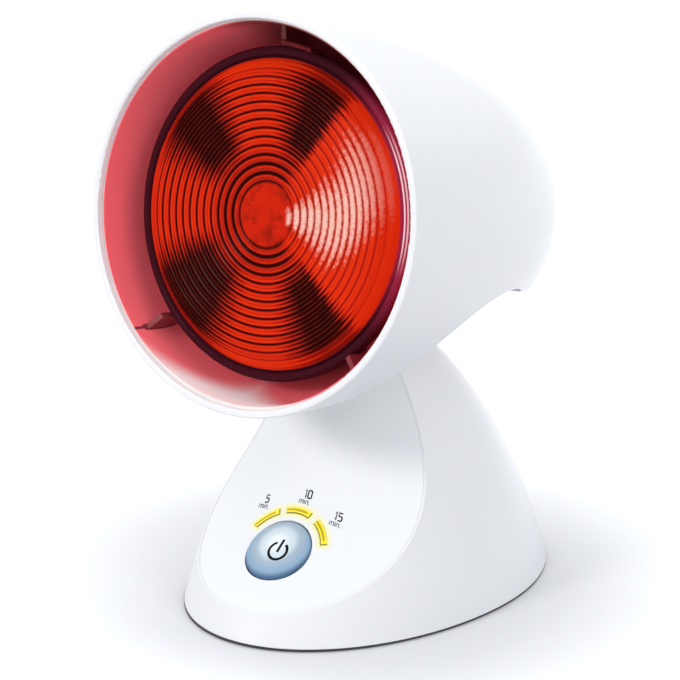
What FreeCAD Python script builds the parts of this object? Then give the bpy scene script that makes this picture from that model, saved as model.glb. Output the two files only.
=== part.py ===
"""Table-top infrared heat therapy lamp: a bullet-shaped hood with a reflector bulb,
tilting on a bell-shaped base that carries a button and three timer lights.

Millimetres. +Z is up, the lamp faces -Y, and X = 0 is its plane of symmetry.
The origin lies on the floor under the middle of the lamp's outline.
Pieces of the head are drawn in head axes: X across, Y from the hood's front rim
along its axis to the rear, Z up. Pieces behind the control panel are drawn in
panel axes: X across, Y up the slope, Z out of the panel, from the button's centre.
"""
import FreeCAD
import Part
import math
import os
from FreeCAD import Placement, Rotation, Vector

# ---------------------------------------------------------------- driving sizes
# Tilt hinge
PIVOT_Y = 7.1              # hinge axis, from the origin
PIVOT_Z = 97.0             # hinge axis above the floor
REST_PITCH = 10.75         # degrees that the head looks up at rest
TILT_DOWN = 8.0            # degrees of travel below rest
TILT_UP = 24.0             # degrees of travel above rest
DETENT_STEP = 8.0          # degrees between two detents
BARREL_R = 9.8
BARREL_HALF = 9.7          # half length of the barrel
POCKET_GAP = 0.6           # round the barrel
SIDE_GAP = 0.3             # beside the barrel
AXLE_R = 2.5
AXLE_HALF = 13.5
RUNNING_GAP = 0.05
AXLE_CAP_R = 4.0
NOTCH_R = 0.7
NOTCH_DEPTH = 0.4
NOTCH_HALF = 4.0

# Hood
HOOD_R = 72.9              # outer radius at the front rim
HOOD_LENGTH = 162.2        # front rim to the rear pole
HOOD_NOSE_POWER = 1.53     # how late the taper starts
HOOD_ROUND_POWER = 3.1     # how blunt the rear is
HOOD_WALL = 2.4
LIP_DEPTH = 2.5
LIP_WIDTH = 2.9            # ring of the lip, seen from the front
LIP_ROUND = 0.8
PIVOT_BEHIND_RIM = 91.66   # hinge axis in head axes
PIVOT_BELOW_AXIS = 48.16
ARCH_R = 73.3              # arched cut-out under the hood
ARCH_Y = 1.0
ARCH_Z = 50.8
ARCH_STRAIGHT = 21.6       # degrees behind its top, where the arch runs on straight
VENT_PITCH = 7.0
VENT_WIDTH = 3.0
VENT_FIELD_R = 27.0
VENT_COUNT = 7
VENT_START = 35.0          # before the rear pole

# Inner bowl
BOWL_WALL = 1.2
BOWL_GAP = 0.3             # to the inside of the hood
BOWL_SHOULDER = 20.0       # depth of the part that follows the hood
BOWL_END_R = 25.7
FIN_THICKNESS = 2.0
FIN_FRONT = 8.5            # where a fin's front edge leaves the bowl
FIN_TIP = 10.8             # where it reaches its inner edge
FIN_REAR = 42.0
FIN_ANGLES = (90.0, 226.0, 314.0)
FIN_GAP = 0.6              # to the bulb

# Reflector bulb, PAR38 with an E27 cap
BULB_R = 60.75
BULB_RECESS = 15.4         # behind the hood's rim
BULB_LENGTH = 133.4
BULB_RING_WIDTH = 3.75
BULB_RING_DEPTH = 3.4
LENS_BULGE = 5.5           # lens centre in front of the ring
LENS_THICKNESS = 2.6
LENS_DISC_R = 11.8         # smooth disc in the middle
LENS_RINGS = 13
LENS_RING_PITCH = 3.38     # between the first two rings
LENS_RING_CLOSING = 0.00091  # by which the rings draw together outwards
LENS_RIDGE = 0.4           # half height of a pressed ring
GLASS_WALL = 1.8
BULB_BOWL_DEPTH = 95.0     # ring to the focus end of the parabola
BULB_NECK_R = 18.9
BULB_NECK_START = 85.0     # behind the ring
BULB_NECK_LENGTH = 5.0
CAP_R = 13.2
CAP_LENGTH = 27.0
CAP_TIP_R = 4.8
CAP_TIP_HEIGHT = 1.8
CAP_INSULATOR_HEIGHT = 3.6
CAP_WALL = 0.5
SKIRT_R = 20.3
FILAMENT_R = 0.8
FILAMENT_RING_R = 8.0
FILAMENT_DEPTH = 62.0      # behind the hood's rim
STEM_R = 4.0
STEM_TOP = 82.0
LEAD_R = 0.5

# Lamp holder and bulkhead
HOLDER_R = 20.5
HOLDER_LENGTH = 31.3
HOLDER_FLOOR = 2.7
SLEEVE_WALL = 0.45
SLEEVE_INSET = 1.2         # behind the holder's mouth
SLEEVE_LENGTH = 23.0
SLEEVE_GAP = 0.55          # round the cap
STRAP_THICKNESS = 1.2
STRAP_HALF_WIDTH = 5.0
STRAP_GAP = 2.0            # beside the holder
STRAP_FOOT = 10.0
PLATE_FRONT = 104.0        # bulkhead, behind the hood's rim
PLATE_THICKNESS = 3.0
PLATE_HOLE_R = 23.0
PLATE_RING_R = 30.0
PLATE_GAP = 0.4
WIRE_HOLE_R = 5.0
WIRE_HOLE_X = 26.0
WIRE_HOLE_Z = 24.0         # lower row
WIRE_HOLE_RISE = 12.0      # between the rows
COVER_INSET = 1.7          # underside cover, inside the arch's edge
COVER_THICKNESS = 1.8
COVER_START = 46.0
COVER_GAP = 0.5
TONGUE_HALF = 9.0

# Base bell: each section is an ellipse, with a deeper front half
FOOT_HALF_WIDTH = 62.5
FOOT_FRONT_DEPTH = 91.8
FOOT_REAR_DEPTH = 79.0
FOOT_CENTRE_Y = 5.1
BELL_LEAN = -0.2158        # section centre, per mm of height
SIDE_APEX = 134.7
SIDE_POWER = 1.221
FRONT_APEX = 197.9
FRONT_POWER = 0.878
REAR_APEX = 126.7
REAR_POWER = 2.784
BELL_TOP = 108.0
BASE_WALL = 2.4
SHELL_BOTTOM = 1.4
KNUCKLE_R = 10.0           # rounded ridge of the neck
ROOF_FRONT_SLOPE = 26.0    # degrees
ROOF_REAR_SLOPE = 22.0
FORK_BLOCK_WALL = 2.0      # round the barrel's pocket
SHELF_DROP = 1.0           # slot floor below the hinge axis

# Control panel: a face that sweeps up the front, crowned across
PANEL_TOP_Y = -14.57
PANEL_SWEEP = 89.3         # how far its foot would reach forward of its top
PANEL_HEIGHT = 112.0
PANEL_POWER = 2.579
PANEL_CROWN = 0.00673      # per mm, across
PANEL_THICKNESS = 1.9
SEAM_LIP = 0.7             # shell edge left round the panel
SEAM_GAP = 0.12

# Button, lights and control board
BUTTON_Z = 27.8
BUTTON_R = 13.3
BUTTON_GAP = 0.3
BUTTON_TRAVEL = 1.2
BUTTON_PROUD = 1.0
BUTTON_DOME = 1.7
BUTTON_SKIN = 1.5
BUTTON_FLANGE = 1.4
BUTTON_FLANGE_TOP = -4.2
BUTTON_STEM_R = 2.0
LIGHT_INNER_R = 16.6
LIGHT_OUTER_R = 19.4
LIGHT_SPAN = 36.0          # degrees
LIGHT_ANGLES = (135.5, 90.5, 43.0)
LIGHT_GAP = 0.12
LIGHT_PROUD = 0.15
BOARD_DEPTH = 12.0         # board face behind the panel's face
BOARD_THICKNESS = 1.6
BOARD_HALF_WIDTH = 23.0
BOARD_LOW = -17.0
BOARD_HIGH = 22.5
POST_R = 2.6
LED_R = 1.5
LED_HEIGHT = 2.5

# Bottom plate, feet and mains board
PLATE_BOTTOM = 0.5
BASE_PLATE_TOP = 3.5
EDGE_INSET = 0.4
FOOT_R = 6.0
FOOT_HEIGHT = 2.0
FOOT_X = 38.0
FOOT_FRONT_Y = -45.0
FOOT_REAR_Y = 50.0
BOSS_R = 3.6
BOSS_X = 49.0
BOSS_FRONT_Y = -24.0
BOSS_REAR_Y = 30.0
MAINS_BOARD_Z = 9.0
MAINS_BOARD_HALF = 28.0
MAINS_BOARD_FRONT = -2.0
MAINS_BOARD_REAR = 58.0

# Components on the mains board: width, depth, height, and place on the board
RELAY_WIDTH = 15.5
RELAY_DEPTH = 19.0
RELAY_HEIGHT = 15.2
RELAY_X = -12.0
RELAY_Y = 12.0
CAPACITOR_R = 5.0
CAPACITOR_HEIGHT = 16.0
CAPACITOR_X = 14.0
CAPACITOR_Y = 8.0
CORE_WIDTH = 30.0
CORE_DEPTH = 12.0
CORE_HEIGHT = 24.0
WINDING_WIDTH = 20.0
WINDING_DEPTH = 22.0
WINDING_HEIGHT = 16.0
TRANSFORMER_X = 2.0
TRANSFORMER_Y = 34.0
TERMINALS_WIDTH = 16.0
TERMINALS_DEPTH = 8.0
TERMINALS_HEIGHT = 10.0
TERMINALS_Y = 52.0
TERMINAL_PITCH = 5.0
TERMINAL_R = 2.0

# Cord inlet
INLET_Z = 13.0
INLET_BORE_R = 3.6
INLET_NECK_R = 5.4
INLET_FLANGE_R = 7.4
INLET_FLANGE = 1.6
INLET_SEAT = 0.05          # outer flange, off the wall
INLET_SAG = 0.6            # by which the curved wall falls away under the inner flange

# Screws
SCREW_R = 1.5
SCREW_HEAD_R = 2.8
SCREW_HEAD = 1.8
FRAME_SCREW = 13.0         # lengths under the head
PLATE_SCREW = 11.0
BOARD_SCREW = 6.0
STRAP_SCREW = 3.4
DETENT_SCREW = 4.5

X_AXIS = Vector(1, 0, 0)
Y_AXIS = Vector(0, 1, 0)
Z_AXIS = Vector(0, 0, 1)
FAR = 300.0                # longer than the lamp, for cutting tools


# ------------------------------------------------------------------ small tools
def box(low, high):
    """Box between two corners."""
    size = [b - a for a, b in zip(low, high)]
    return Part.makeBox(size[0], size[1], size[2], Vector(*low))


def rod(radius, start, end):
    """Cylinder from one point to another."""
    line = end - start
    return Part.makeCylinder(radius, line.Length, start, line)


def turned(edges, axis):
    """Solid of revolution of a closed outline about an axis through the origin."""
    return Part.Face(Part.Wire(edges)).revolve(Vector(), axis, 360)


def turned_y(points):
    """Turned about the head's axis, from (radius, depth) corners."""
    corners = [Vector(r, s, 0) for r, s in points]
    return turned(Part.makePolygon(corners + corners[:1]).Edges, Y_AXIS)


def turned_z(points):
    """Turned about Z, from (radius, height) corners."""
    corners = [Vector(r, 0, z) for r, z in points]
    return turned(Part.makePolygon(corners + corners[:1]).Edges, Z_AXIS)


def prism_x(points, half):
    """Outline of (y, z) corners, as wide as 2 * half across X."""
    corners = [Vector(-half, y, z) for y, z in points]
    outline = Part.Face(Part.makePolygon(corners + corners[:1]))
    return outline.extrude(Vector(2 * half, 0, 0))


def spline(points, closed=False):
    curve = Part.BSplineCurve()
    curve.interpolate(points, PeriodicFlag=closed)
    return curve.toShape()


def join(shapes):
    """One solid from overlapping ones."""
    whole = shapes[0].multiFuse(shapes[1:])
    return whole.removeSplitter()


def group(shapes):
    """Separate solids in one node."""
    return Part.makeCompound(shapes)


def mirror_x(shape):
    return shape.mirror(Vector(), X_AXIS)


def screw(seat, direction, length):
    """Pan-head screw: the head's underside sits at seat, the shank runs along direction."""
    way = Vector(direction).normalize()
    head = Part.makeCylinder(SCREW_HEAD_R, SCREW_HEAD, seat - way * SCREW_HEAD, way)
    rim = [e for e in head.Edges if e.Length > SCREW_HEAD_R * 3 and
           (e.CenterOfMass - seat).Length > SCREW_HEAD * 0.6]
    head = head.makeFillet(SCREW_HEAD * 0.45, rim)
    return join([head, Part.makeCylinder(SCREW_R, length, seat, way)])


def placed(shape, placement):
    moved = shape.copy()
    moved.Placement = placement.multiply(moved.Placement)
    return moved


# ------------------------------------------------------------- frames of the lamp
HEAD_TURN = Rotation(X_AXIS, -REST_PITCH)
PIVOT = Vector(0, PIVOT_Y, PIVOT_Z)
PIVOT_IN_HEAD = Vector(0, PIVOT_BEHIND_RIM, -PIVOT_BELOW_AXIS)
HEAD = Placement(PIVOT - HEAD_TURN.multVec(PIVOT_IN_HEAD), HEAD_TURN)


def panel_y(x, z):
    """The panel's face, as a distance along Y."""
    sweep = PANEL_SWEEP * (1 - z / PANEL_HEIGHT) ** PANEL_POWER
    return PANEL_TOP_Y - sweep + PANEL_CROWN * x * x


def panel_placement():
    """Panel axes: X across, Y up the slope, Z out of the panel."""
    slope = PANEL_SWEEP * PANEL_POWER / PANEL_HEIGHT
    slope *= (1 - BUTTON_Z / PANEL_HEIGHT) ** (PANEL_POWER - 1)
    up = Vector(0, slope, 1).normalize()
    out = Vector(0, -1, slope).normalize()
    return Placement(Vector(0, panel_y(0, BUTTON_Z), BUTTON_Z), Rotation(X_AXIS, up, out, "ZXY"))


PANEL = panel_placement()


# ------------------------------------------------------------------- hood shapes
def dome_radius(depth, radius, length):
    """Radius of the bullet form at a depth behind its rim."""
    return radius * (1 - (depth / length) ** HOOD_NOSE_POWER) ** (1 / HOOD_ROUND_POWER)


def dome(radius, length):
    """Solid bullet form, flat at the rim and round at the rear."""
    steps = 14
    points = []
    for i in range(steps + 1):
        turn = math.pi / 2 * i / steps
        depth = length * math.sin(turn) ** (2 / HOOD_NOSE_POWER)
        points.append(Vector(radius * max(math.cos(turn), 0) ** (2 / HOOD_ROUND_POWER), depth, 0))
    points[-1] = Vector(0, length, 0)
    profile = spline(points)
    axis = Part.makeLine(points[-1], Vector())
    front = Part.makeLine(Vector(), points[0])
    return turned([profile, axis, front], Y_AXIS)


def hood_inside(gap):
    """Space inside the hood's wall, less a gap."""
    inset = HOOD_WALL + gap
    return dome(HOOD_R - inset, HOOD_LENGTH - inset)


def arch_tool(radius):
    """Round-topped bar across the lamp that cuts the arch under the hood."""
    start = Vector(-FAR / 2, ARCH_Y, ARCH_Z)
    turn = math.radians(ARCH_STRAIGHT)
    edge = start + Vector(0, math.sin(turn), math.cos(turn)) * radius
    end = edge + Vector(0, math.cos(turn), -math.sin(turn)) * FAR / 2
    corners = [start, edge, end, Vector(end.x, end.y, start.z)]
    rear = Part.Face(Part.makePolygon(corners + corners[:1])).extrude(X_AXIS * FAR)
    bar = Part.makeCylinder(radius, FAR, start, X_AXIS).fuse(rear)
    return placed(bar.removeSplitter(), HEAD.inverse())


def vent_slots():
    """Upright round-ended slots in the hood's rear."""
    slots = []
    for i in range(VENT_COUNT):
        x = (i - (VENT_COUNT - 1) / 2) * VENT_PITCH
        half = math.sqrt(VENT_FIELD_R ** 2 - x * x) - VENT_WIDTH / 2
        rear = HOOD_LENGTH - VENT_START
        corner = (x - VENT_WIDTH / 2, rear, -half)
        slots.append(box(corner, (x + VENT_WIDTH / 2, FAR, half)))
        for z in (-half, half):
            slots.append(rod(VENT_WIDTH / 2, Vector(x, rear, z), Vector(x, FAR, z)))
    return slots


def frame_screw_places():
    """Where the bulkhead is screwed to the hood, in head axes."""
    radius = dome_radius(PLATE_FRONT + PLATE_THICKNESS, HOOD_R, HOOD_LENGTH) - 10
    places = []
    for angle in (90, 15, 165):
        turn = math.radians(angle)
        places.append(Vector(radius * math.cos(turn), PLATE_FRONT, radius * math.sin(turn)))
    return places


def hood_shell():
    body = dome(HOOD_R, HOOD_LENGTH)
    hollow = hood_inside(0).cut(box((-FAR, -1, -FAR), (FAR, LIP_DEPTH, FAR)))
    mouth = rod(HOOD_R - LIP_WIDTH, Vector(0, -1, 0), Vector(0, LIP_DEPTH + 0.5, 0))
    shell = body.cut(hollow).cut(mouth)
    rims = [e for e in shell.Edges if e.BoundBox.YMax < 0.01 and e.Length > HOOD_R]
    shell = shell.makeFillet(LIP_ROUND, rims)
    bosses = []
    pilots = []
    for seat in frame_screw_places():
        front = seat + Y_AXIS * PLATE_THICKNESS
        boss = rod(4, front, front + Y_AXIS * 20)
        bosses.append(boss.common(dome(HOOD_R - HOOD_WALL / 2, HOOD_LENGTH - HOOD_WALL / 2)))
        pilots.append(rod(SCREW_R, front - Y_AXIS, front + Y_AXIS * 11))
    shell = join([shell] + bosses).cut(pilots + vent_slots() + [arch_tool(ARCH_R)])
    return placed(shell, HEAD)


# -------------------------------------------------------------------- inner bowl
def bowl_curve(offset):
    """Outer line of the bowl: it follows the hood, then closes in round the bulb."""
    follow = []
    for depth in (LIP_DEPTH + 0.2, BOWL_SHOULDER * 0.5, BOWL_SHOULDER):
        inner = dome_radius(depth, HOOD_R - HOOD_WALL, HOOD_LENGTH - HOOD_WALL)
        follow.append((inner - BOWL_GAP, depth))
    close = []
    for depth in (38, 56, 72, 86):
        close.append((bulb_radius(depth) + 6.0 + BOWL_WALL, depth))
    tail = [(BOWL_END_R + 1.5, PLATE_FRONT - 6), (BOWL_END_R, PLATE_FRONT)]
    return [Vector(r + offset, s, 0) for r, s in follow + close + tail]


def bowl_outline(offset):
    """Solid as large as the bowl's outside, plus an offset."""
    points = bowl_curve(offset)
    ends = [Vector(0, points[-1].y, 0), Vector(0, points[0].y, 0)]
    rest = Part.makePolygon([points[-1]] + ends + [points[0]])
    return turned([spline(points)] + rest.Edges, Y_AXIS)


def fin(angle):
    """Thin radial fin between the bulb and the bowl."""
    ring_rear = BULB_RECESS + BULB_RING_DEPTH + 1
    inner = [(FIN_TIP, BULB_R + FIN_GAP), (ring_rear, BULB_R + FIN_GAP)]
    for depth in (30, FIN_REAR):
        inner.append((depth, bulb_radius(depth) + FIN_GAP))
    outer = [(FIN_REAR, HOOD_R), (FIN_FRONT, HOOD_R)]
    corners = [Vector(r, s, -FIN_THICKNESS / 2) for s, r in inner + outer]
    plate = Part.Face(Part.makePolygon(corners + corners[:1])).extrude(Vector(0, 0, FIN_THICKNESS))
    plate.rotate(Vector(), Y_AXIS, -angle)
    return plate.common(bowl_outline(-BOWL_WALL / 2))


def inner_bowl():
    front = box((-FAR, 0, -FAR), (FAR, LIP_DEPTH + 0.2, FAR))
    hollow = bowl_outline(-BOWL_WALL)
    ends = [rod(bowl_curve(-BOWL_WALL)[0].x, Vector(0, 0, 0), Vector(0, LIP_DEPTH + 1, 0)),
            rod(BOWL_END_R - BOWL_WALL, Vector(0, PLATE_FRONT - 1, 0), Vector(0, PLATE_FRONT + 1, 0))]
    bowl = bowl_outline(0).cut([hollow, front] + ends)
    bowl = join([bowl] + [fin(angle) for angle in FIN_ANGLES])
    return placed(bowl, HEAD)


# -------------------------------------------------------------------------- bulb
def bulb_radius(depth):
    """Parabola of the reflector, at a depth behind the hood's rim."""
    focus_end = BULB_RECESS + BULB_BOWL_DEPTH
    return BULB_R * math.sqrt(max(focus_end - depth, 0) / BULB_BOWL_DEPTH)


def lens_depth(radius):
    """Smooth front of the lens, behind the hood's rim."""
    edge = BULB_R - BULB_RING_WIDTH
    return BULB_RECESS - LENS_BULGE * (1 - (radius / edge) ** 2)


def ring_radius(count):
    """Radius of a valley in the lens, counted from the middle disc."""
    start = 1 / LENS_RING_PITCH
    reach = math.sqrt(start ** 2 + 4 * LENS_RING_CLOSING * count) - start
    return LENS_DISC_R + reach / (2 * LENS_RING_CLOSING)


def bulb_lens():
    """Pressed glass: a ring, a smooth middle disc and concentric ridges between."""
    edge = BULB_R - BULB_RING_WIDTH
    front = [(0, lens_depth(0)), (LENS_DISC_R * 0.72, lens_depth(LENS_DISC_R * 0.72))]
    for i in range(LENS_RINGS):
        valley = ring_radius(i)
        front.append((valley, lens_depth(valley) + LENS_RIDGE))
        crest = ring_radius(i + 0.5)
        front.append((crest, lens_depth(crest) - LENS_RIDGE))
    front.append((ring_radius(LENS_RINGS), lens_depth(ring_radius(LENS_RINGS)) + LENS_RIDGE))
    front.append((edge, BULB_RECESS + LENS_RIDGE))
    ring_rear = BULB_RECESS + BULB_RING_DEPTH
    ring = [(edge + 0.8, BULB_RECESS - 0.3), (BULB_R - 0.8, BULB_RECESS - 0.3),
            (BULB_R, BULB_RECESS + 0.5), (BULB_R, ring_rear), (BULB_R - GLASS_WALL, ring_rear)]
    back = []
    for radius in (edge, edge * 0.6, edge * 0.3, 0):
        back.append((radius, lens_depth(radius) + LENS_THICKNESS))
    return placed(turned_y(front + ring + back), HEAD)


def bulb_reflector():
    start = BULB_RECESS + BULB_RING_DEPTH
    neck = BULB_RECESS + BULB_NECK_START
    end = neck + BULB_NECK_LENGTH
    steps = 7

    def line(inset):
        points = []
        for i in range(steps):
            depth = start + (neck - start) * i / (steps - 1)
            points.append(Vector(bulb_radius(depth) - inset, depth, 0))
        points[0] = Vector(BULB_R - inset, start, 0)
        points[-1] = Vector(BULB_NECK_R - inset, neck, 0)
        return points

    outer = line(0)
    inner = line(GLASS_WALL)
    tail = [outer[-1], Vector(BULB_NECK_R, end, 0), Vector(BULB_NECK_R - GLASS_WALL, end, 0), inner[-1]]
    mouth = Part.makeLine(inner[0], outer[0])
    edges = [spline(outer)] + Part.makePolygon(tail).Edges + [spline(inner[::-1]), mouth]
    return placed(turned(edges, Y_AXIS), HEAD)


def filament():
    """Glass stem, two lead wires and the coil between them."""
    neck_end = BULB_RECESS + BULB_NECK_START + BULB_NECK_LENGTH
    stem_r = BULB_NECK_R - GLASS_WALL
    flange = neck_end - STEM_R / 2
    stem = turned_y([(0, STEM_TOP), (STEM_R * 0.6, STEM_TOP), (STEM_R, STEM_TOP + STEM_R * 2), (STEM_R, flange),
                     (stem_r, flange), (stem_r, neck_end), (0, neck_end)])
    lead = rod(LEAD_R, Vector(STEM_R / 2, STEM_TOP + STEM_R / 2, 0), Vector(FILAMENT_RING_R, FILAMENT_DEPTH, 0))
    coil = Part.makeTorus(FILAMENT_RING_R, FILAMENT_R, Vector(0, FILAMENT_DEPTH, 0), Y_AXIS, -180, 180, 180)
    wires = join([stem, lead, mirror_x(lead), coil])
    return placed(wires, HEAD)


def cap_start():
    """Depth where the cap's thread starts."""
    return BULB_RECESS + BULB_LENGTH - CAP_LENGTH


def thread_end():
    return BULB_RECESS + BULB_LENGTH - CAP_TIP_HEIGHT - CAP_INSULATOR_HEIGHT


def bulb_cap():
    neck = BULB_RECESS + BULB_NECK_START
    start = cap_start()
    end = thread_end()
    outside = [(SKIRT_R, neck), (SKIRT_R, neck + 4), (CAP_R + 0.8, start - 2), (CAP_R, start),
               (CAP_R, end - 1.5), (CAP_R - 1.7, end)]
    inside = [(6, end), (6, end - CAP_WALL), (CAP_R - 2, end - CAP_WALL - 0.5),
              (CAP_R - CAP_WALL, end - 2), (CAP_R - CAP_WALL, start), (CAP_R + 0.3, start - 2.2),
              (BULB_NECK_R + 0.1, neck + 6), (BULB_NECK_R + 0.1, neck)]
    return placed(turned_y(outside + inside), HEAD)


def cap_insulator():
    end = thread_end()
    rear = end + CAP_INSULATOR_HEIGHT
    return placed(turned_y([(0, end), (CAP_R - 1.9, end), (CAP_TIP_R + 1.2, rear), (0, rear)]), HEAD)


def tip_contact():
    start = thread_end() + CAP_INSULATOR_HEIGHT
    end = start + CAP_TIP_HEIGHT
    outline = [(0, start), (CAP_TIP_R, start), (CAP_TIP_R, start + 0.8), (CAP_TIP_R - 1.5, end), (0, end)]
    return placed(turned_y(outline), HEAD)


# ------------------------------------------------------------------- lamp holder
def holder_rear():
    return BULB_RECESS + BULB_LENGTH + 0.8 + HOLDER_FLOOR


def holder_bore():
    return CAP_R + SLEEVE_GAP + SLEEVE_WALL


def lamp_holder():
    rear = holder_rear()
    front = rear - HOLDER_LENGTH
    floor = rear - HOLDER_FLOOR
    bore = holder_bore()
    body = turned_y([(bore, front), (HOLDER_R - 1.5, front), (HOLDER_R, front + 1.5), (HOLDER_R, front + 16),
                     (HOLDER_R - 2, front + 18), (HOLDER_R - 2, rear - 1), (HOLDER_R - 3, rear), (0, rear),
                     (0, floor), (bore, floor)])
    holes = [rod(SCREW_R, Vector(x, rear + 1, 0), Vector(x, rear - 2.4, 0)) for x in (-9, 9)]
    return placed(body.cut(holes), HEAD)


def holder_sleeve():
    front = holder_rear() - HOLDER_LENGTH + SLEEVE_INSET
    rear = front + SLEEVE_LENGTH
    bore = holder_bore()
    inner = bore - SLEEVE_WALL
    return placed(turned_y([(inner, front), (bore, front), (bore, rear), (inner, rear)]), HEAD)


def holder_contact():
    floor = holder_rear() - HOLDER_FLOOR
    return placed(turned_y([(0, floor - 0.7), (2.5, floor - 0.7), (4.5, floor), (0, floor)]), HEAD)


def holder_bracket():
    """Strap: two legs from the bulkhead to a cross-piece behind the holder."""
    start = PLATE_FRONT + PLATE_THICKNESS
    rear = holder_rear()
    inner = HOLDER_R + STRAP_GAP
    outer = inner + STRAP_THICKNESS
    cross = box((-outer, rear, -STRAP_HALF_WIDTH), (outer, rear + STRAP_THICKNESS, STRAP_HALF_WIDTH))
    leg = box((inner, start, -STRAP_HALF_WIDTH), (outer, rear + STRAP_THICKNESS, STRAP_HALF_WIDTH))
    foot = box((inner, start, -STRAP_HALF_WIDTH),
               (inner + STRAP_FOOT, start + STRAP_THICKNESS, STRAP_HALF_WIDTH))
    strap = join([cross, leg, foot, mirror_x(leg), mirror_x(foot)])
    holes = []
    for seat, way in strap_screw_places():
        holes.append(rod(SCREW_R, seat - way * 3, seat + way * 3))
    return placed(strap.cut(holes), HEAD)


def strap_screw_places():
    """Seat and direction of each screw of the strap, in head axes."""
    foot_x = HOLDER_R + STRAP_GAP + STRAP_FOOT - 4
    foot_y = PLATE_FRONT + PLATE_THICKNESS + STRAP_THICKNESS
    rear = holder_rear() + STRAP_THICKNESS
    places = []
    for side in (-1, 1):
        places.append((Vector(side * foot_x, foot_y, 0), -Y_AXIS))
        places.append((Vector(side * 9, rear, 0), -Y_AXIS))
    return places


def bracket_screws():
    return group([placed(screw(seat, way, STRAP_SCREW), HEAD) for seat, way in strap_screw_places()])


# -------------------------------------------------------------------- head frame
def tongue():
    """Web from the bulkhead down to the hinge barrel, with the barrel's detent notches."""
    y, z = PIVOT_BEHIND_RIM, -PIVOT_BELOW_AXIS
    rear = PLATE_FRONT + PLATE_THICKNESS
    clear = math.radians(REST_PITCH + TILT_UP + 3)
    web = prism_x([(y - 5.5, z + 7.2), (y + 6.3, z + 14.6), (PLATE_FRONT, z + 19.5), (rear, z + 21),
                   (rear, z + (rear - y) * math.tan(clear)),
                   (y + BARREL_R * math.cos(clear), z + BARREL_R * math.sin(clear)), (y, z)], TONGUE_HALF)
    barrel = rod(BARREL_R, Vector(-BARREL_HALF, y, z), Vector(BARREL_HALF, y, z))
    bore = rod(AXLE_R + RUNNING_GAP, Vector(-FAR, y, z), Vector(FAR, y, z))
    notches = []
    turn = -TILT_DOWN
    while turn <= TILT_UP:
        angle = math.radians(turn + REST_PITCH)
        reach = BARREL_R + NOTCH_R - NOTCH_DEPTH
        centre = Vector(0, y + reach * math.sin(angle), z - reach * math.cos(angle))
        notches.append(rod(NOTCH_R, centre - X_AXIS * NOTCH_HALF, centre + X_AXIS * NOTCH_HALF))
        turn += DETENT_STEP
    return join([web, barrel]).cut(notches + [bore])


def head_frame():
    """Bulkhead across the hood, open round the bulb's neck, with the tongue below."""
    rear = PLATE_FRONT + PLATE_THICKNESS
    inside = hood_inside(PLATE_GAP)
    slab = box((-FAR, PLATE_FRONT, -FAR), (FAR, rear, FAR))
    seat = ARCH_R + COVER_INSET + COVER_THICKNESS + 0.2
    disc = inside.common(slab).cut(arch_tool(seat))
    ring = rod(PLATE_RING_R, Vector(0, PLATE_FRONT, 0), Vector(0, rear, 0))
    frame = join([disc, ring, tongue()])
    tools = [rod(PLATE_HOLE_R, Vector(0, PLATE_FRONT - 1, 0), Vector(0, rear + 1, 0))]
    for place in frame_screw_places():
        tools.append(rod(SCREW_R, place - Y_AXIS, place + Y_AXIS * 4))
    for seat_point, way in strap_screw_places():
        tools.append(rod(SCREW_R, seat_point, seat_point + way * 6))
    for side in (-1, 1):
        for height in (WIRE_HOLE_Z, WIRE_HOLE_Z + WIRE_HOLE_RISE):
            start = Vector(side * WIRE_HOLE_X, PLATE_FRONT - 1, height)
            tools.append(rod(WIRE_HOLE_R, start, start + Y_AXIS * 5))
    return placed(frame.cut(tools), HEAD)


def frame_screws():
    return group([placed(screw(place, Y_AXIS, FRAME_SCREW), HEAD) for place in frame_screw_places()])


def underside_cover():
    """Curved cover that closes the arch, open round the bowl and the tongue."""
    inner = ARCH_R + COVER_INSET
    band = arch_tool(inner + COVER_THICKNESS).cut(arch_tool(inner))
    band = band.common(hood_inside(COVER_GAP))
    band = band.cut(box((-FAR, -FAR, -FAR), (FAR, COVER_START, FAR)))
    ring = rod(PLATE_RING_R + COVER_GAP, Vector(0, PLATE_FRONT - 8, 0),
               Vector(0, PLATE_FRONT + PLATE_THICKNESS + COVER_GAP, 0))
    core = rod(HOLDER_R + COVER_GAP, Vector(0, PLATE_FRONT, 0), Vector(0, holder_rear() + COVER_GAP, 0))
    half = TONGUE_HALF + COVER_GAP
    slot = box((-half, PIVOT_BEHIND_RIM - BARREL_R * 2, -FAR), (half, PLATE_FRONT + PLATE_THICKNESS + 1, 0))
    cover = band.cut([bowl_outline(COVER_GAP), ring, core, slot])
    pieces = sorted(cover.Solids, key=lambda solid: solid.Volume)
    return placed(pieces[-1], HEAD)


# --------------------------------------------------------------------- base bell
def bell_section(z, inset):
    """Closed egg-like section of the base at a height."""
    half_width = FOOT_HALF_WIDTH * (1 - (z / SIDE_APEX) ** SIDE_POWER) - inset
    front = FOOT_FRONT_DEPTH * (1 - (z / FRONT_APEX) ** FRONT_POWER) - inset
    rear = FOOT_REAR_DEPTH * (1 - (z / REAR_APEX) ** REAR_POWER) - inset
    centre = FOOT_CENTRE_Y + BELL_LEAN * z
    count = 28
    points = []
    for i in range(count):
        turn = math.pi / 2 + 2 * math.pi * i / count
        depth = rear if math.sin(turn) > 0 else front
        points.append(Vector(half_width * math.cos(turn), centre + depth * math.sin(turn), z))
    return Part.Wire([spline(points, closed=True)])


def bell(inset, bottom=0.0):
    """Solid bell form, inset from the base's outside."""
    steps = 6
    sections = []
    for i in range(steps + 1):
        sections.append(bell_section(bottom + (BELL_TOP - bottom) * i / steps, inset))
    return Part.makeLoft(sections, True, False)


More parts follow.
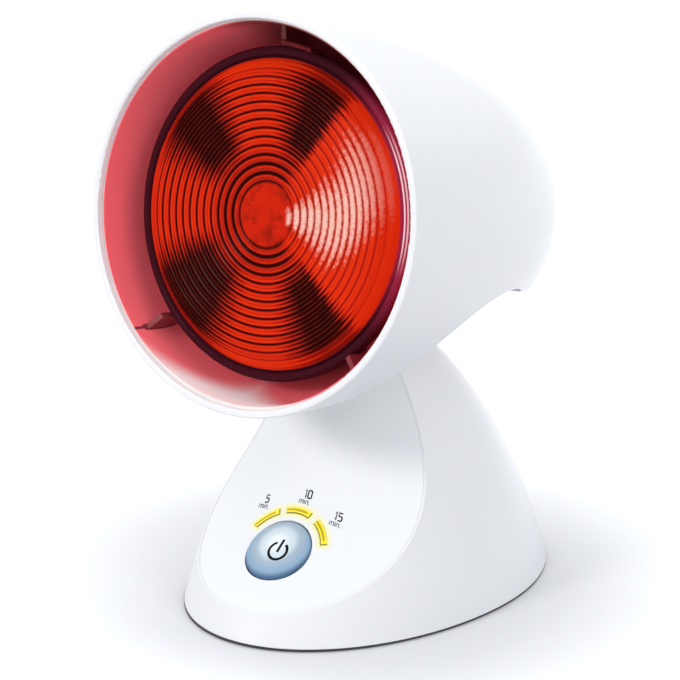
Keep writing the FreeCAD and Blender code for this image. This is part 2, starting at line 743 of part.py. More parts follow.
def below_roof(drop):
    """Everything under the neck's ridged roof, lowered by a drop."""
    radius = KNUCKLE_R - drop
    front = math.radians(ROOF_FRONT_SLOPE)
    rear = math.radians(ROOF_REAR_SLOPE)
    front_top = PIVOT + Vector(0, -math.sin(front), math.cos(front)) * radius
    rear_top = PIVOT + Vector(0, math.sin(rear), math.cos(rear)) * radius
    front_low = front_top - Vector(0, math.cos(front), math.sin(front)) * 150
    rear_low = rear_top + Vector(0, math.cos(rear), -math.sin(rear)) * 150
    ridge = Part.Arc(front_top, PIVOT + Z_AXIS * radius, rear_top).toShape()
    floor = -5.0
    path = [rear_top, rear_low, Vector(0, rear_low.y, floor - 60), Vector(0, front_low.y, floor - 60),
            front_low, front_top]
    outline = Part.Wire([ridge] + Part.makePolygon(path).Edges)
    outline.translate(X_AXIS * -FAR / 2)
    return Part.Face(outline).extrude(X_AXIS * FAR)


def front_region(shift=0.0, proud=0.0):
    """Space in front of the panel's face; shift sinks the face, proud raises it."""
    columns = 9
    rows = 15
    low = -4.0
    high = PANEL_HEIGHT - 0.2
    grid = []
    for i in range(columns):
        x = -76 + 152 * i / (columns - 1)
        line = []
        for j in range(rows):
            z = low + (high - low) * j / (rows - 1)
            line.append(Vector(x, panel_y(x, z) + shift - proud, z - shift + proud))
        grid.append(line)
    surface = Part.BSplineSurface()
    surface.interpolate(grid)
    return surface.toShape().extrude(Vector(0, -FAR, 0))


def hinge_slot():
    """Open slot of the fork above the hinge axis, and the barrel's pocket."""
    half = BARREL_HALF + SIDE_GAP
    floor = PIVOT_Z - SHELF_DROP
    slot = box((-half, -FAR, floor), (half, FAR, FAR))
    pocket = rod(BARREL_R + POCKET_GAP, PIVOT - X_AXIS * half, PIVOT + X_AXIS * half)
    return [slot, pocket]


def boss_places():
    return [Vector(side * BOSS_X, y, BASE_PLATE_TOP) for side in (-1, 1) for y in (BOSS_FRONT_Y, BOSS_REAR_Y)]


def rear_wall_y(z):
    """Outside of the shell at the middle of its rear."""
    return FOOT_CENTRE_Y + BELL_LEAN * z + FOOT_REAR_DEPTH * (1 - (z / REAR_APEX) ** REAR_POWER)


def inlet_placement():
    """Inlet axes: Y points out of the shell's rear wall, square to it."""
    rise = INLET_NECK_R
    lean = math.atan2(rear_wall_y(INLET_Z - rise) - rear_wall_y(INLET_Z + rise), 2 * rise)
    return Placement(Vector(0, rear_wall_y(INLET_Z), INLET_Z), Rotation(X_AXIS, math.degrees(lean)))


def base_shell():
    outside = bell(0, SHELL_BOTTOM).common(below_roof(0))
    pocket_reach = BARREL_R + POCKET_GAP + FORK_BLOCK_WALL
    block = box((-FAR, PIVOT_Y - pocket_reach, PIVOT_Z - pocket_reach), (FAR, PIVOT_Y + pocket_reach, FAR))
    shelf_half = BARREL_HALF + SIDE_GAP + 3
    shelf = box((-shelf_half, -FAR, PIVOT_Z - SHELF_DROP - BASE_WALL), (shelf_half, FAR, FAR))
    hollow = bell(BASE_WALL).common(below_roof(BASE_WALL)).cut([block, shelf])
    rebate = front_region(PANEL_THICKNESS).common(bell(SEAM_LIP))
    shell = outside.cut([hollow, front_region(), rebate])
    bosses = []
    for place in boss_places():
        boss = rod(BOSS_R, place, place + Z_AXIS * 36)
        inside = bell(BASE_WALL / 2, SHELL_BOTTOM).cut(front_region(PANEL_THICKNESS + 0.6))
        bosses.append(boss.common(inside))
    shell = join([shell] + bosses)
    tools = hinge_slot()
    tools.append(rod(AXLE_R, PIVOT - X_AXIS * (AXLE_HALF + 1), PIVOT + X_AXIS * (AXLE_HALF + 1)))
    for side in (-1, 1):
        tools.append(rod(AXLE_CAP_R, PIVOT + X_AXIS * side * AXLE_HALF, PIVOT + X_AXIS * side * 60))
    tools.append(box((-NOTCH_HALF, PIVOT_Y - 3.5, PIVOT_Z - 20), (NOTCH_HALF, PIVOT_Y + 3.5, PIVOT_Z - 8)))
    tools.append(rod(SCREW_R, detent_screw_seat() - Z_AXIS, detent_screw_seat() + Z_AXIS * 4))
    for place in boss_places():
        tools.append(rod(SCREW_R, place - Z_AXIS, place + Z_AXIS * 11))
    tools.append(placed(rod(INLET_NECK_R + RUNNING_GAP, -Y_AXIS * 12, Y_AXIS * 12), inlet_placement()))
    return shell.cut(tools)


def front_panel():
    slab = front_region(PANEL_THICKNESS).cut(front_region())
    panel = slab.common(bell(SEAM_LIP + SEAM_GAP, SHELL_BOTTOM)).common(below_roof(0))
    behind = bell(BASE_WALL).cut(front_region(0.5))
    posts = []
    for x, y in board_post_places():
        post = rod(POST_R, Vector(x, y, -BOARD_DEPTH), Vector(x, y, 8))
        posts.append(placed(post, PANEL).common(behind))
    panel = join([panel] + posts)
    tools = hinge_slot()
    tools.append(placed(rod(BUTTON_R + BUTTON_GAP, Vector(0, 0, -9), Vector(0, 0, 9)), PANEL))
    for angle in LIGHT_ANGLES:
        tools.append(placed(arc_block(angle, 0, -9, 9), PANEL))
    for x, y in board_post_places():
        tools.append(placed(rod(SCREW_R, Vector(x, y, -BOARD_DEPTH - 1), Vector(x, y, -BOARD_DEPTH + 5)), PANEL))
    return panel.cut(tools)


def axle_caps():
    plug = rod(AXLE_CAP_R, PIVOT + X_AXIS * AXLE_HALF, PIVOT + X_AXIS * 40)
    plug = plug.common(bell(0.1).common(below_roof(0)))
    return group([plug, mirror_x(plug)])


def hinge_axle():
    axle = rod(AXLE_R, PIVOT - X_AXIS * AXLE_HALF, PIVOT + X_AXIS * AXLE_HALF)
    return axle.makeChamfer(0.4, [e for e in axle.Edges if e.Length < AXLE_R * 7 and e.Closed])


def detent_screw_seat():
    """Under the hinge block, behind the pocket."""
    reach = BARREL_R + POCKET_GAP + FORK_BLOCK_WALL
    return Vector(0, PIVOT_Y + 8.6, PIVOT_Z - reach)


def detent_spring():
    """Leaf under the hinge block; its nose stands in the pocket, clear of the crests."""
    top = PIVOT_Z - (BARREL_R + POCKET_GAP + FORK_BLOCK_WALL)
    thick = 0.5
    tip = PIVOT_Z - BARREL_R - 0.25
    y = PIVOT_Y
    outline = [(y + 12, top), (y + 2.4, top), (y + 0.5, tip - 0.15), (y, tip), (y - 0.5, tip - 0.15),
               (y - 2.4, top), (y - 6, top), (y - 6, top - thick), (y - 2.7, top - thick),
               (y, tip - 1.1), (y + 2.7, top - thick), (y + 12, top - thick)]
    leaf = prism_x(outline, NOTCH_HALF - 0.5)
    seat = detent_screw_seat()
    return leaf.cut(rod(SCREW_R, seat - Z_AXIS * 2, seat + Z_AXIS))


def detent_screw():
    return screw(detent_screw_seat() - Z_AXIS * 0.5, Z_AXIS, DETENT_SCREW)


# ------------------------------------------------------- button, lights and board
def arc_block(angle, inset, low, high):
    """Block over one arc window, in panel axes."""
    inner = LIGHT_INNER_R + inset
    outer = LIGHT_OUTER_R - inset
    middle = (inner + outer) / 2
    half = math.radians(LIGHT_SPAN / 2) - inset / middle
    turn = math.radians(angle)

    def at(radius, where):
        return Vector(radius * math.cos(where), radius * math.sin(where), low)

    first = turn - half
    last = turn + half
    edges = [Part.Arc(at(outer, first), at(outer, turn), at(outer, last)).toShape(),
             Part.makeLine(at(outer, last), at(inner, last)),
             Part.Arc(at(inner, last), at(inner, turn), at(inner, first)).toShape(),
             Part.makeLine(at(inner, first), at(outer, first))]
    return Part.Face(Part.Wire(edges)).extrude(Vector(0, 0, high - low))


def light_guides():
    low = -BOARD_DEPTH + LED_HEIGHT + 0.3
    front = front_region(proud=LIGHT_PROUD)
    blocks = [placed(arc_block(angle, LIGHT_GAP, low, 6), PANEL) for angle in LIGHT_ANGLES]
    return group([block.cut(front) for block in blocks])


def power_button():
    edge = BUTTON_PROUD
    crown = edge + BUTTON_DOME
    side = edge - 1.0
    flange_r = BUTTON_R + BUTTON_FLANGE
    low = BUTTON_FLANGE_TOP - 1.2
    top = Part.Arc(Vector(0, 0, crown), Vector(BUTTON_R * 0.5, 0, crown - BUTTON_DOME * 0.27),
                   Vector(BUTTON_R - 0.9, 0, edge)).toShape()
    corner = Part.Arc(Vector(BUTTON_R - 0.9, 0, edge), Vector(BUTTON_R - 0.27, 0, edge - 0.3),
                      Vector(BUTTON_R, 0, side)).toShape()
    stem_end = -BOARD_DEPTH + 4.9 + BUTTON_TRAVEL
    points = [(BUTTON_R, side), (BUTTON_R, BUTTON_FLANGE_TOP), (flange_r, BUTTON_FLANGE_TOP), (flange_r, low),
              (BUTTON_R - BUTTON_SKIN, low), (BUTTON_R - BUTTON_SKIN, side - 0.6),
              (BUTTON_STEM_R, crown - BUTTON_SKIN), (BUTTON_STEM_R, stem_end), (0, stem_end), (0, crown)]
    path = Part.makePolygon([Vector(r, 0, z) for r, z in points])
    return placed(turned([top, corner] + path.Edges, Z_AXIS), PANEL)


def board_post_places():
    return [(x, y) for x in (-19, 19) for y in (-13, 18.5)]


def control_board():
    board = box((-BOARD_HALF_WIDTH, BOARD_LOW, -BOARD_DEPTH - BOARD_THICKNESS),
                (BOARD_HALF_WIDTH, BOARD_HIGH, -BOARD_DEPTH))
    for x, y in board_post_places():
        board = board.cut(rod(SCREW_R, Vector(x, y, -FAR), Vector(x, y, FAR)))
    return placed(board, PANEL)


def control_board_screws():
    rear = -BOARD_DEPTH - BOARD_THICKNESS
    return group([placed(screw(Vector(x, y, rear), Z_AXIS, BOARD_SCREW), PANEL) for x, y in board_post_places()])


def indicator_leds():
    middle = (LIGHT_INNER_R + LIGHT_OUTER_R) / 2
    lights = []
    for angle in LIGHT_ANGLES:
        turn = math.radians(angle)
        foot = Vector(middle * math.cos(turn), middle * math.sin(turn), -BOARD_DEPTH)
        body = rod(LED_R, foot, foot + Z_AXIS * (LED_HEIGHT - LED_R))
        lights.append(placed(join([body, Part.makeSphere(LED_R, foot + Z_AXIS * (LED_HEIGHT - LED_R))
                                   .common(rod(LED_R * 2, foot, foot + Z_AXIS * 9))]), PANEL))
    return group(lights)


def tact_switch():
    body = box((-3, -3, -BOARD_DEPTH), (3, 3, -BOARD_DEPTH + 3.6))
    pin = rod(1.75, Vector(0, 0, -BOARD_DEPTH + 3), Vector(0, 0, -BOARD_DEPTH + 4.7))
    return placed(join([body, pin]), PANEL)


# ------------------------------------------------------------------- bottom plate
def mains_post_places():
    x = MAINS_BOARD_HALF - 5
    return [(side * x, y) for side in (-1, 1) for y in (MAINS_BOARD_FRONT + 6, MAINS_BOARD_REAR - 6)]


def foot_places():
    return [(side * FOOT_X, y) for side in (-1, 1) for y in (FOOT_FRONT_Y, FOOT_REAR_Y)]


def base_plate():
    """Dark plate: a rim under the shell, a spigot inside it, posts for the mains board."""
    rim = Part.Face(bell_section(0, EDGE_INSET))
    rim.translate(Z_AXIS * PLATE_BOTTOM)
    rim = rim.extrude(Z_AXIS * (SHELL_BOTTOM - PLATE_BOTTOM))
    spigot = Part.Face(bell_section(BASE_PLATE_TOP, BASE_WALL + 0.3))
    spigot.translate(Z_AXIS * (SHELL_BOTTOM - 0.2 - BASE_PLATE_TOP))
    spigot = spigot.extrude(Z_AXIS * (BASE_PLATE_TOP - SHELL_BOTTOM + 0.2))
    posts = [rod(3, Vector(x, y, BASE_PLATE_TOP - 1), Vector(x, y, MAINS_BOARD_Z)) for x, y in mains_post_places()]
    plate = join([rim, spigot] + posts)
    tools = []
    for x, y in foot_places():
        tools.append(rod(FOOT_R + 0.2, Vector(x, y, 0), Vector(x, y, FOOT_HEIGHT)))
    for x, y in mains_post_places():
        tools.append(rod(SCREW_R, Vector(x, y, MAINS_BOARD_Z - 5), Vector(x, y, MAINS_BOARD_Z + 1)))
    for place in boss_places():
        tools.append(rod(SCREW_R, place - Z_AXIS * 9, place + Z_AXIS))
        tools.append(rod(SCREW_HEAD_R + 0.5, place - Z_AXIS * 9, place - Z_AXIS * 1.1))
    return plate.cut(tools)


def base_screws():
    return group([screw(place - Z_AXIS * 1.1, Z_AXIS, PLATE_SCREW) for place in boss_places()])


def rubber_feet():
    feet = [rod(FOOT_R, Vector(x, y, 0), Vector(x, y, FOOT_HEIGHT)) for x, y in foot_places()]
    return group([foot.makeFillet(0.4, [e for e in foot.Edges if e.Closed and e.BoundBox.ZMax < 0.1])
                  for foot in feet])


def power_board():
    board = box((-MAINS_BOARD_HALF, MAINS_BOARD_FRONT, MAINS_BOARD_Z),
                (MAINS_BOARD_HALF, MAINS_BOARD_REAR, MAINS_BOARD_Z + BOARD_THICKNESS))
    for x, y in mains_post_places():
        board = board.cut(rod(SCREW_R, Vector(x, y, 0), Vector(x, y, FAR)))
    return board


def power_board_screws():
    top = MAINS_BOARD_Z + BOARD_THICKNESS
    return group([screw(Vector(x, y, top), -Z_AXIS, BOARD_SCREW) for x, y in mains_post_places()])


def on_mains_board(width, depth, height, x, y):
    """Box-shaped component standing on the mains board."""
    top = MAINS_BOARD_Z + BOARD_THICKNESS
    body = box((x - width / 2, y - depth / 2, top), (x + width / 2, y + depth / 2, top + height))
    uprights = [e for e in body.Edges if abs(e.BoundBox.ZLength - height) < 0.01]
    return body.makeFillet(0.8, uprights)


def relay():
    return on_mains_board(RELAY_WIDTH, RELAY_DEPTH, RELAY_HEIGHT, RELAY_X, RELAY_Y)


def capacitor():
    foot = Vector(CAPACITOR_X, CAPACITOR_Y, MAINS_BOARD_Z + BOARD_THICKNESS)
    can = rod(CAPACITOR_R, foot, foot + Z_AXIS * CAPACITOR_HEIGHT)
    return can.makeFillet(0.8, [e for e in can.Edges if e.Closed and e.BoundBox.ZMin > foot.z + 1])


def transformer():
    """Laminated core with the winding between its limbs."""
    core = on_mains_board(CORE_WIDTH, CORE_DEPTH, CORE_HEIGHT, TRANSFORMER_X, TRANSFORMER_Y)
    winding = on_mains_board(WINDING_WIDTH, WINDING_DEPTH, WINDING_HEIGHT, TRANSFORMER_X, TRANSFORMER_Y)
    return join([core, winding])


def terminal_block():
    block = on_mains_board(TERMINALS_WIDTH, TERMINALS_DEPTH, TERMINALS_HEIGHT, 0, TERMINALS_Y)
    top = MAINS_BOARD_Z + BOARD_THICKNESS + TERMINALS_HEIGHT
    holes = []
    for i in (-1, 0, 1):
        mouth = Vector(i * TERMINAL_PITCH, TERMINALS_Y, top)
        holes.append(rod(TERMINAL_R, mouth - Z_AXIS * 3, mouth + Z_AXIS))
    return block.cut(holes)


def cord_bush():
    """Rubber bush of the cord inlet, flanged on both sides of the wall."""
    inner = -BASE_WALL - INLET_SAG
    outline = [(INLET_BORE_R, inner - INLET_FLANGE), (INLET_FLANGE_R, inner - INLET_FLANGE),
               (INLET_FLANGE_R, inner), (INLET_NECK_R, inner), (INLET_NECK_R, INLET_SEAT),
               (INLET_FLANGE_R, INLET_SEAT), (INLET_FLANGE_R, INLET_SEAT + INLET_FLANGE * 0.6),
               (INLET_FLANGE_R - 1, INLET_SEAT + INLET_FLANGE), (INLET_BORE_R, INLET_SEAT + INLET_FLANGE)]
    return placed(turned_y(outline), inlet_placement())


NODES = (hood_shell, inner_bowl, bulb_lens, bulb_reflector, filament, bulb_cap, cap_insulator, tip_contact,
         lamp_holder, holder_sleeve, holder_contact, holder_bracket, bracket_screws, head_frame, frame_screws,
         underside_cover, base_shell, front_panel, base_plate, base_screws, rubber_feet, hinge_axle, axle_caps,
         detent_spring, detent_screw, light_guides, control_board, control_board_screws, indicator_leds,
         tact_switch, power_board, power_board_screws, relay, capacitor, transformer, terminal_block, cord_bush,
         power_button)

os.makedirs("parts", exist_ok=True)
for node in NODES:
    node().exportStep("parts/" + node.__name__ + ".step")
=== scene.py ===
"""Table-top infrared heat lamp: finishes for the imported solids, and the pieces that need finer forms."""
import math

import bmesh
import bpy
from bpy.props import FloatProperty, FloatVectorProperty, IntProperty, PointerProperty
from mathutils import Matrix, Vector


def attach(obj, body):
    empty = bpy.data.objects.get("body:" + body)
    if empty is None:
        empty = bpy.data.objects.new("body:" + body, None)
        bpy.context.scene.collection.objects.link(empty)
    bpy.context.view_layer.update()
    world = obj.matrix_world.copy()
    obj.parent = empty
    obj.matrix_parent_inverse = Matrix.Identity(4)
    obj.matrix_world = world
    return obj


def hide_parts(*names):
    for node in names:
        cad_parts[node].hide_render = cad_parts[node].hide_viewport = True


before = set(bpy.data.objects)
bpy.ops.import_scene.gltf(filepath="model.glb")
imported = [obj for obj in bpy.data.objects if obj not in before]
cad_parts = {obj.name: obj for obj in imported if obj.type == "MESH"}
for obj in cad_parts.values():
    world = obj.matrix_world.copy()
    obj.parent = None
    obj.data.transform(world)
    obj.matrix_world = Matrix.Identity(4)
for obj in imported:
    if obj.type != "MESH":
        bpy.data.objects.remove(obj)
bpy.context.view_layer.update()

bl_info = {
    "name": "Infrared Heat Lamp",
    "version": (1, 0, 0),
    "blender": (4, 5, 0),
    "location": "3D View > Sidebar > Heat Lamp",
    "description": "Dresses a table-top infrared heat lamp and builds its lens, button, lights and print",
    "category": "Object",
}

MM = 0.001
MERGE = 1e-4               # points closer than this, in mm, are one

# Head axes: X across, Y from the hood's rim to its rear, Z up, in millimetres
REST_PITCH = math.radians(10.75)
PIVOT = Vector((0, 7.1, 97.0)) * MM
PIVOT_IN_HEAD = Vector((0, 91.66, -48.16)) * MM
HEAD = Matrix.Translation(PIVOT) @ Matrix.Rotation(-REST_PITCH, 4, "X") @ Matrix.Translation(-PIVOT_IN_HEAD)

# Bulb, in head axes
BULB_R = 60.75
BULB_RECESS = 15.4
RING_WIDTH = 3.75
RING_DEPTH = 3.4
LENS_EDGE_R = BULB_R - RING_WIDTH
LENS_THICKNESS = 2.6
LENS_SAMPLES = 200         # points from the middle of the face to its edge
SHOULDER_R = 47.0          # where the face starts to turn back to its rim
DISH_SPAN = 36.0           # how far past the middle disc the face is dished
DISC_R = 11.8
DISC_HEIGHT = 1.3          # the middle disc stands out, less so at its edge
DISC_FALL = 0.4
DISC_STEP = 0.6            # width of the slope at its edge
RINGED_R = 52.6
RING_PITCH = 3.36
RING_CLOSING = 0.0005      # the rings get closer outwards
RIM_BACK = 0.9             # the rim's bead: where it starts behind the recess, and how far it comes forward
RIM_ROUND = 1.7
RIM_STEPS = 12
RIM_WALL = 1.8             # its thickness at the rear

# Spring clip: its section as distance from the axis and depth, its first angle, its span and steps
CLIP_SECTION = ((61.35, 9.6), (61.35, 18.0), (62.0, 18.0), (62.0, 9.6), (63.4, 8.7), (62.9, 8.1))
CLIP_ANGLE = 77.5
CLIP_SPAN = 12.0
CLIP_STEPS = 10

# Heat guard, in head axes: depth and radius at the middle of its wall, which closes in round the bulb
GUARD_WALL = ((4, 69.3), (14, 69.2), (18, 69.0), (20, 68.6), (24, 67.4), (28, 65.4), (34, 61.9), (38, 59.6),
              (44, 57.0), (50, 54.8), (60, 50.9), (72, 45.3), (80, 41.4), (84, 38.9), (90, 33.5), (96, 27.8),
              (100, 25.8), (104, 25.2))
FIN_ANGLES = (90, 226, 314)

# Control panel: its face falls back from foot to top and bows across
PANEL_TOP_Y = -14.57
PANEL_REACH = 89.3
PANEL_HEIGHT = 112.0
PANEL_POWER = 2.579
PANEL_BOW = 0.00673

# Button, in panel axes, which have their origin at its centre on the panel
BUTTON_Z = 27.8
BUTTON_R = 13.3
BUTTON_ROUND = 0.9
BUTTON_SHOULDER_R = BUTTON_R - 1.05
BUTTON_INSIDE_R = BUTTON_R - 1.5
BUTTON_SKIN = 1.6
FLANGE_R = BUTTON_R + 1.4
FLANGE_FRONT = -4.2
FLANGE_REAR = -5.4
STEM_R = 2.0
STEM_FRONT = 0.1           # over the edge, where the stem meets the inside of the dome
STEM_REAR = -5.9
DOME_STEPS = 24
ROUND_STEPS = 6
BUTTON_STEPS = 128
HIGHLIGHT_PLACE = (-0.8, 2.6)              # middle of the painted highlight, and how far its gradient reaches
HIGHLIGHT_R = 16.5
FOOT_SHADE_LINE = (BUTTON_R - 0.6, BUTTON_R - 0.1)
SYMBOL_PLACE = Vector((1.3, -0.9, 0.0))   # middle of the power symbol
SYMBOL_GAP = 62.0                         # opening of its ring, in degrees
SYMBOL_STEPS = 48
SYMBOL_BAR = (-0.6, 5.2)                  # lower and upper end of its bar
BAR_STEPS = 29                            # enough for the bar to follow the dome

# Timer windows, in panel axes
LIGHT_INNER_R = 16.6
LIGHT_OUTER_R = 19.4
LIGHT_MIDDLE_R = (LIGHT_INNER_R + LIGHT_OUTER_R) / 2
LIGHT_SPAN = 36.0
LIGHT_ANGLES = (135.5, 90.5, 43.0)
LIGHT_GAP = 0.12           # between a window and its opening
LIGHT_REAR = -3.0
LIGHT_PROUD = 0.2
LIGHT_BEVEL = 0.14
LIGHT_STEPS = 24
PAINTED_GLOW_REACH = 2.6           # of a window's painted glow on the panel
PAINTED_GLOW_LEVEL = 0.8
END_LINE = (0.3, 0.55)     # from a window's right-hand end: its dark line stops, and its plain part
PLAIN_END = (1.4, 2.2)
INNER_LINE = (0.15, 0.25)  # share of its width at which its dark inner edge stops

# Print: thickness of its strokes, and how far their middle is off the surface
PRINT_THICKNESS = 0.03
PRINT_LIFT = 0.02
SYMBOL_THICKNESS = 0.05
SYMBOL_LIFT = 0.01

# Stage: lamps as name, place and width in metres, and watts; camera angles in degrees
LAMPS = (("key", (-0.6, -1.9, 1.0), 0.5, 15.5),
         ("side", (1.8, -0.5, 1.3), 1.0, 10.5),
         ("top", (-0.4, 0.3, 2.1), 0.9, 9.5))
LAMP_WHITE = "#FFFDF9"
LAMP_TARGET = Vector((0, 0, 0.12))
SKY_BLUE = "#EEF3FB"
SKY_LEVELS = (0.46, 1.05)  # at the horizon and overhead
FLOOR_SIZE = 6.0
FLOOR_SHADOW = (0.06, 0.25)  # stretch round the lamp over which the glow grows from its darkest, painted shade
FLOOR_DARKEST = 0.22
CAMERA_AZIMUTH = math.radians(36.398)
CAMERA_ELEVATION = math.radians(17.396)
CAMERA_TARGET = Vector((0, -3.9, 97.19)) * MM
CAMERA_SHIFT = 8.45 * MM   # of the target, to the left
CAMERA_DISTANCE = 1.1
FOCAL_LENGTH = 152.35
SENSOR_WIDTH = 36.0


def panel_y(x, z):
    """The panel's face, as a distance along Y, in millimetres."""
    return PANEL_TOP_Y - PANEL_REACH * (1 - z / PANEL_HEIGHT) ** PANEL_POWER + PANEL_BOW * x * x


def panel_axes():
    """Axes on the panel: X across, Y up its slope, Z out of it."""
    slope = PANEL_REACH * PANEL_POWER / PANEL_HEIGHT * (1 - BUTTON_Z / PANEL_HEIGHT) ** (PANEL_POWER - 1)
    across = Vector((1, 0, 0))
    up = Vector((0, slope, 1)).normalized()
    out = across.cross(up)
    turn = Matrix((across, up, out)).transposed().to_4x4()
    return Matrix.Translation(Vector((0, panel_y(0, BUTTON_Z), BUTTON_Z)) * MM) @ turn


PANEL = panel_axes()
PANEL_TILT = math.atan2(PANEL[2][1], PANEL[1][1])


def circle(radius, turn):
    """A point on a circle."""
    return radius * math.cos(turn), radius * math.sin(turn)


# ------------------------------------------------------------------ colours and nodes
SMOOTH = {"interpolation_type": "SMOOTHSTEP"}
NOISE_RANGE = (0.3, 0.7)   # nearly all of a noise lies between these levels


def srgb(text):
    """Linear colour of an sRGB hex value."""
    channels = [int(text[i:i + 2], 16) / 255 for i in (1, 3, 5)]
    return tuple(c / 12.92 if c <= 0.04045 else ((c + 0.055) / 1.055) ** 2.4 for c in channels)


def rgba(colour):
    """Opaque linear colour of a grey level, an sRGB hex value or a linear colour."""
    if isinstance(colour, str):
        colour = srgb(colour)
    elif isinstance(colour, (int, float)):
        colour = (colour, colour, colour)
    return (*colour, 1.0)


def feed(tree, node, feeds):
    """Feeds a node's sockets, by name or in the order of those in use, with values, sockets or nodes."""
    if not isinstance(feeds, dict):
        in_use = [place for place, socket in enumerate(node.inputs) if socket.enabled]
        feeds = dict(zip(in_use, feeds))
    for place, value in feeds.items():
        socket = node.inputs[place]
        if isinstance(value, bpy.types.Node):
            value = next(output for output in value.outputs if output.enabled)
        if isinstance(value, bpy.types.NodeSocket):
            tree.links.new(value, socket)
        else:
            socket.default_value = rgba(value) if socket.type == "RGBA" else value


def add(tree, kind, feeds=(), **settings):
    """Adds a node with its feeds and settings; a ramp's settings are its stops and its blend."""
    node = tree.nodes.new("ShaderNode" + kind)
    for name, value in settings.items():
        if name == "stops":
            ramp = node.color_ramp
            for element, (place, colour) in zip(ramp.elements, (value[0], value[-1])):
                element.position = place
                element.color = rgba(colour)
            for place, colour in value[1:-1]:
                ramp.elements.new(place).color = rgba(colour)
        elif name == "blend":
            node.color_ramp.interpolation = value
        else:
            setattr(node, name, value)
    feed(tree, node, feeds)
    return node


def over(span, table):
    """A ramp's stops from a table whose places run over a span."""
    return [(place / span, colour) for place, colour in table]


def joined(tree, operation, values):
    """One value that an operation makes of several."""
    result = values[0]
    for value in values[1:]:
        result = add(tree, "Math", (result, value), operation=operation)
    return result


def away_from(tree, value, middle):
    """How far a value is from a middle, on either side."""
    gap = add(tree, "Math", (value, middle), operation="SUBTRACT")
    return add(tree, "Math", (gap,), operation="ABSOLUTE")


def outside_of(tree, value, middle, half):
    """How far a value is past either end of a range, and 0 inside it."""
    past = add(tree, "Math", (away_from(tree, value, middle), half), operation="SUBTRACT")
    return add(tree, "Math", (past, 0.0), operation="MAXIMUM")


def object_place(tree):
    """Object coordinates, in metres."""
    return add(tree, "TexCoord").outputs["Object"]


def place_in(tree, axes, tilt):
    """Object coordinates in millimetres, in axes tilted about X."""
    return add(tree, "Mapping", (object_place(tree), axes.translation, (tilt, 0, 0), (MM, MM, MM)),
               vector_type="TEXTURE")


def about_axis(tree, place, up):
    """The parts of a place, its distance from the axis across X and `up`, and its turn about it from X."""
    parts = add(tree, "SeparateXYZ", (place,)).outputs
    flat = add(tree, "CombineXYZ", {"X": parts["X"], up: parts[up]})
    reach = add(tree, "VectorMath", (flat,), operation="LENGTH")
    turn = add(tree, "Math", (parts[up], parts["X"]), operation="ARCTAN2")
    return parts, reach, turn


def seen_directly(tree):
    """1 for what the camera sees, itself or in a mirror or through glass, and 0 for what only lights."""
    rays = add(tree, "LightPath").outputs
    return joined(tree, "MAXIMUM", [rays[f"Is {kind} Ray"] for kind in ("Camera", "Glossy", "Transmission")])


def finish(name, values):
    """A new material and its shader, with the shader's constants."""
    material = bpy.data.materials.new(name)
    material.use_nodes = True
    tree = material.node_tree
    shader = tree.nodes["Principled BSDF"]
    feed(tree, shader, values)
    return material, tree, shader


def grain(tree, shader, size, height, spread):
    """Fine relief of a moulded or cast surface, sized in millimetres, and the same grain in its gloss."""
    noise = add(tree, "TexNoise", {"Vector": object_place(tree), "Scale": 1 / (size * MM), "Detail": 3.0})
    bump = add(tree, "Bump", {"Height": noise, "Distance": height * MM, "Strength": 1.0})
    middle = shader.inputs["Roughness"].default_value
    gloss = add(tree, "MapRange", (noise, *NOISE_RANGE, middle - spread, middle + spread))
    feed(tree, shader, {"Normal": bump, "Roughness": gloss})


def clouded(tree, shader, first, second, size):
    """Two close shades that drift into each other over a size in millimetres."""
    noise = add(tree, "TexNoise", {"Vector": object_place(tree), "Scale": 1 / (size * MM), "Detail": 2.0})
    ramp = add(tree, "ValToRGB", (noise,), stops=((0.35, first), (0.65, second)))
    feed(tree, shader, {"Base Color": ramp})
    return ramp


def plain_finish(name, values, relief, shades):
    """A material with a grain's size, height and spread, and with two shades and the size of their drift."""
    material, tree, shader = finish(name, values)
    grain(tree, shader, *relief)
    clouded(tree, shader, *shades)
    return material


# ------------------------------------------------------------------- housing finishes
def gloss_white_abs():
    # Injection-moulded ABS from a polished mould: even white, soft broad highlights, a trace of orange peel
    white = bpy.context.scene.lamp_colours.housing
    return plain_finish("Gloss White ABS", {"Roughness": 0.3, "Specular IOR Level": 0.2,
                                            "Coat Weight": 0.04, "Coat Roughness": 0.12},
                        (4.0, 0.002, 0.02), ([c * 0.985 for c in white], white, 60))


def satin_panel_abs():
    # ABS from a finely etched mould: whiter and duller than the housing;
    # beside the lit windows, a painted yellow glow of their light
    colours = bpy.context.scene.lamp_colours
    material, tree, shader = finish("Satin White Panel ABS", {"Roughness": 0.38, "Specular IOR Level": 0.25})
    grain(tree, shader, 0.5, 0.001, 0.04)
    _, reach, turn = about_axis(tree, place_in(tree, PANEL, PANEL_TILT), "Y")
    beside = outside_of(tree, reach, LIGHT_MIDDLE_R, (LIGHT_OUTER_R - LIGHT_INNER_R) / 2)
    gaps = []
    for angle in LIGHT_ANGLES:
        past = outside_of(tree, turn, math.radians(angle), math.radians(LIGHT_SPAN / 2))
        past = add(tree, "Math", (past, LIGHT_MIDDLE_R), operation="MULTIPLY")
        gap = add(tree, "CombineXYZ", (beside, past))
        gaps.append(add(tree, "VectorMath", (gap,), operation="LENGTH"))
    # Painted glow: the windows' yellow light painted on the panel beside them
    glow = add(tree, "MapRange", (joined(tree, "MINIMUM", gaps), 0.0, PAINTED_GLOW_REACH, PAINTED_GLOW_LEVEL, 0.0), **SMOOTH)
    tint = add(tree, "Mix", (glow, colours.panel, colours.glow), data_type="RGBA")
    feed(tree, shader, {"Base Color": tint})
    return material
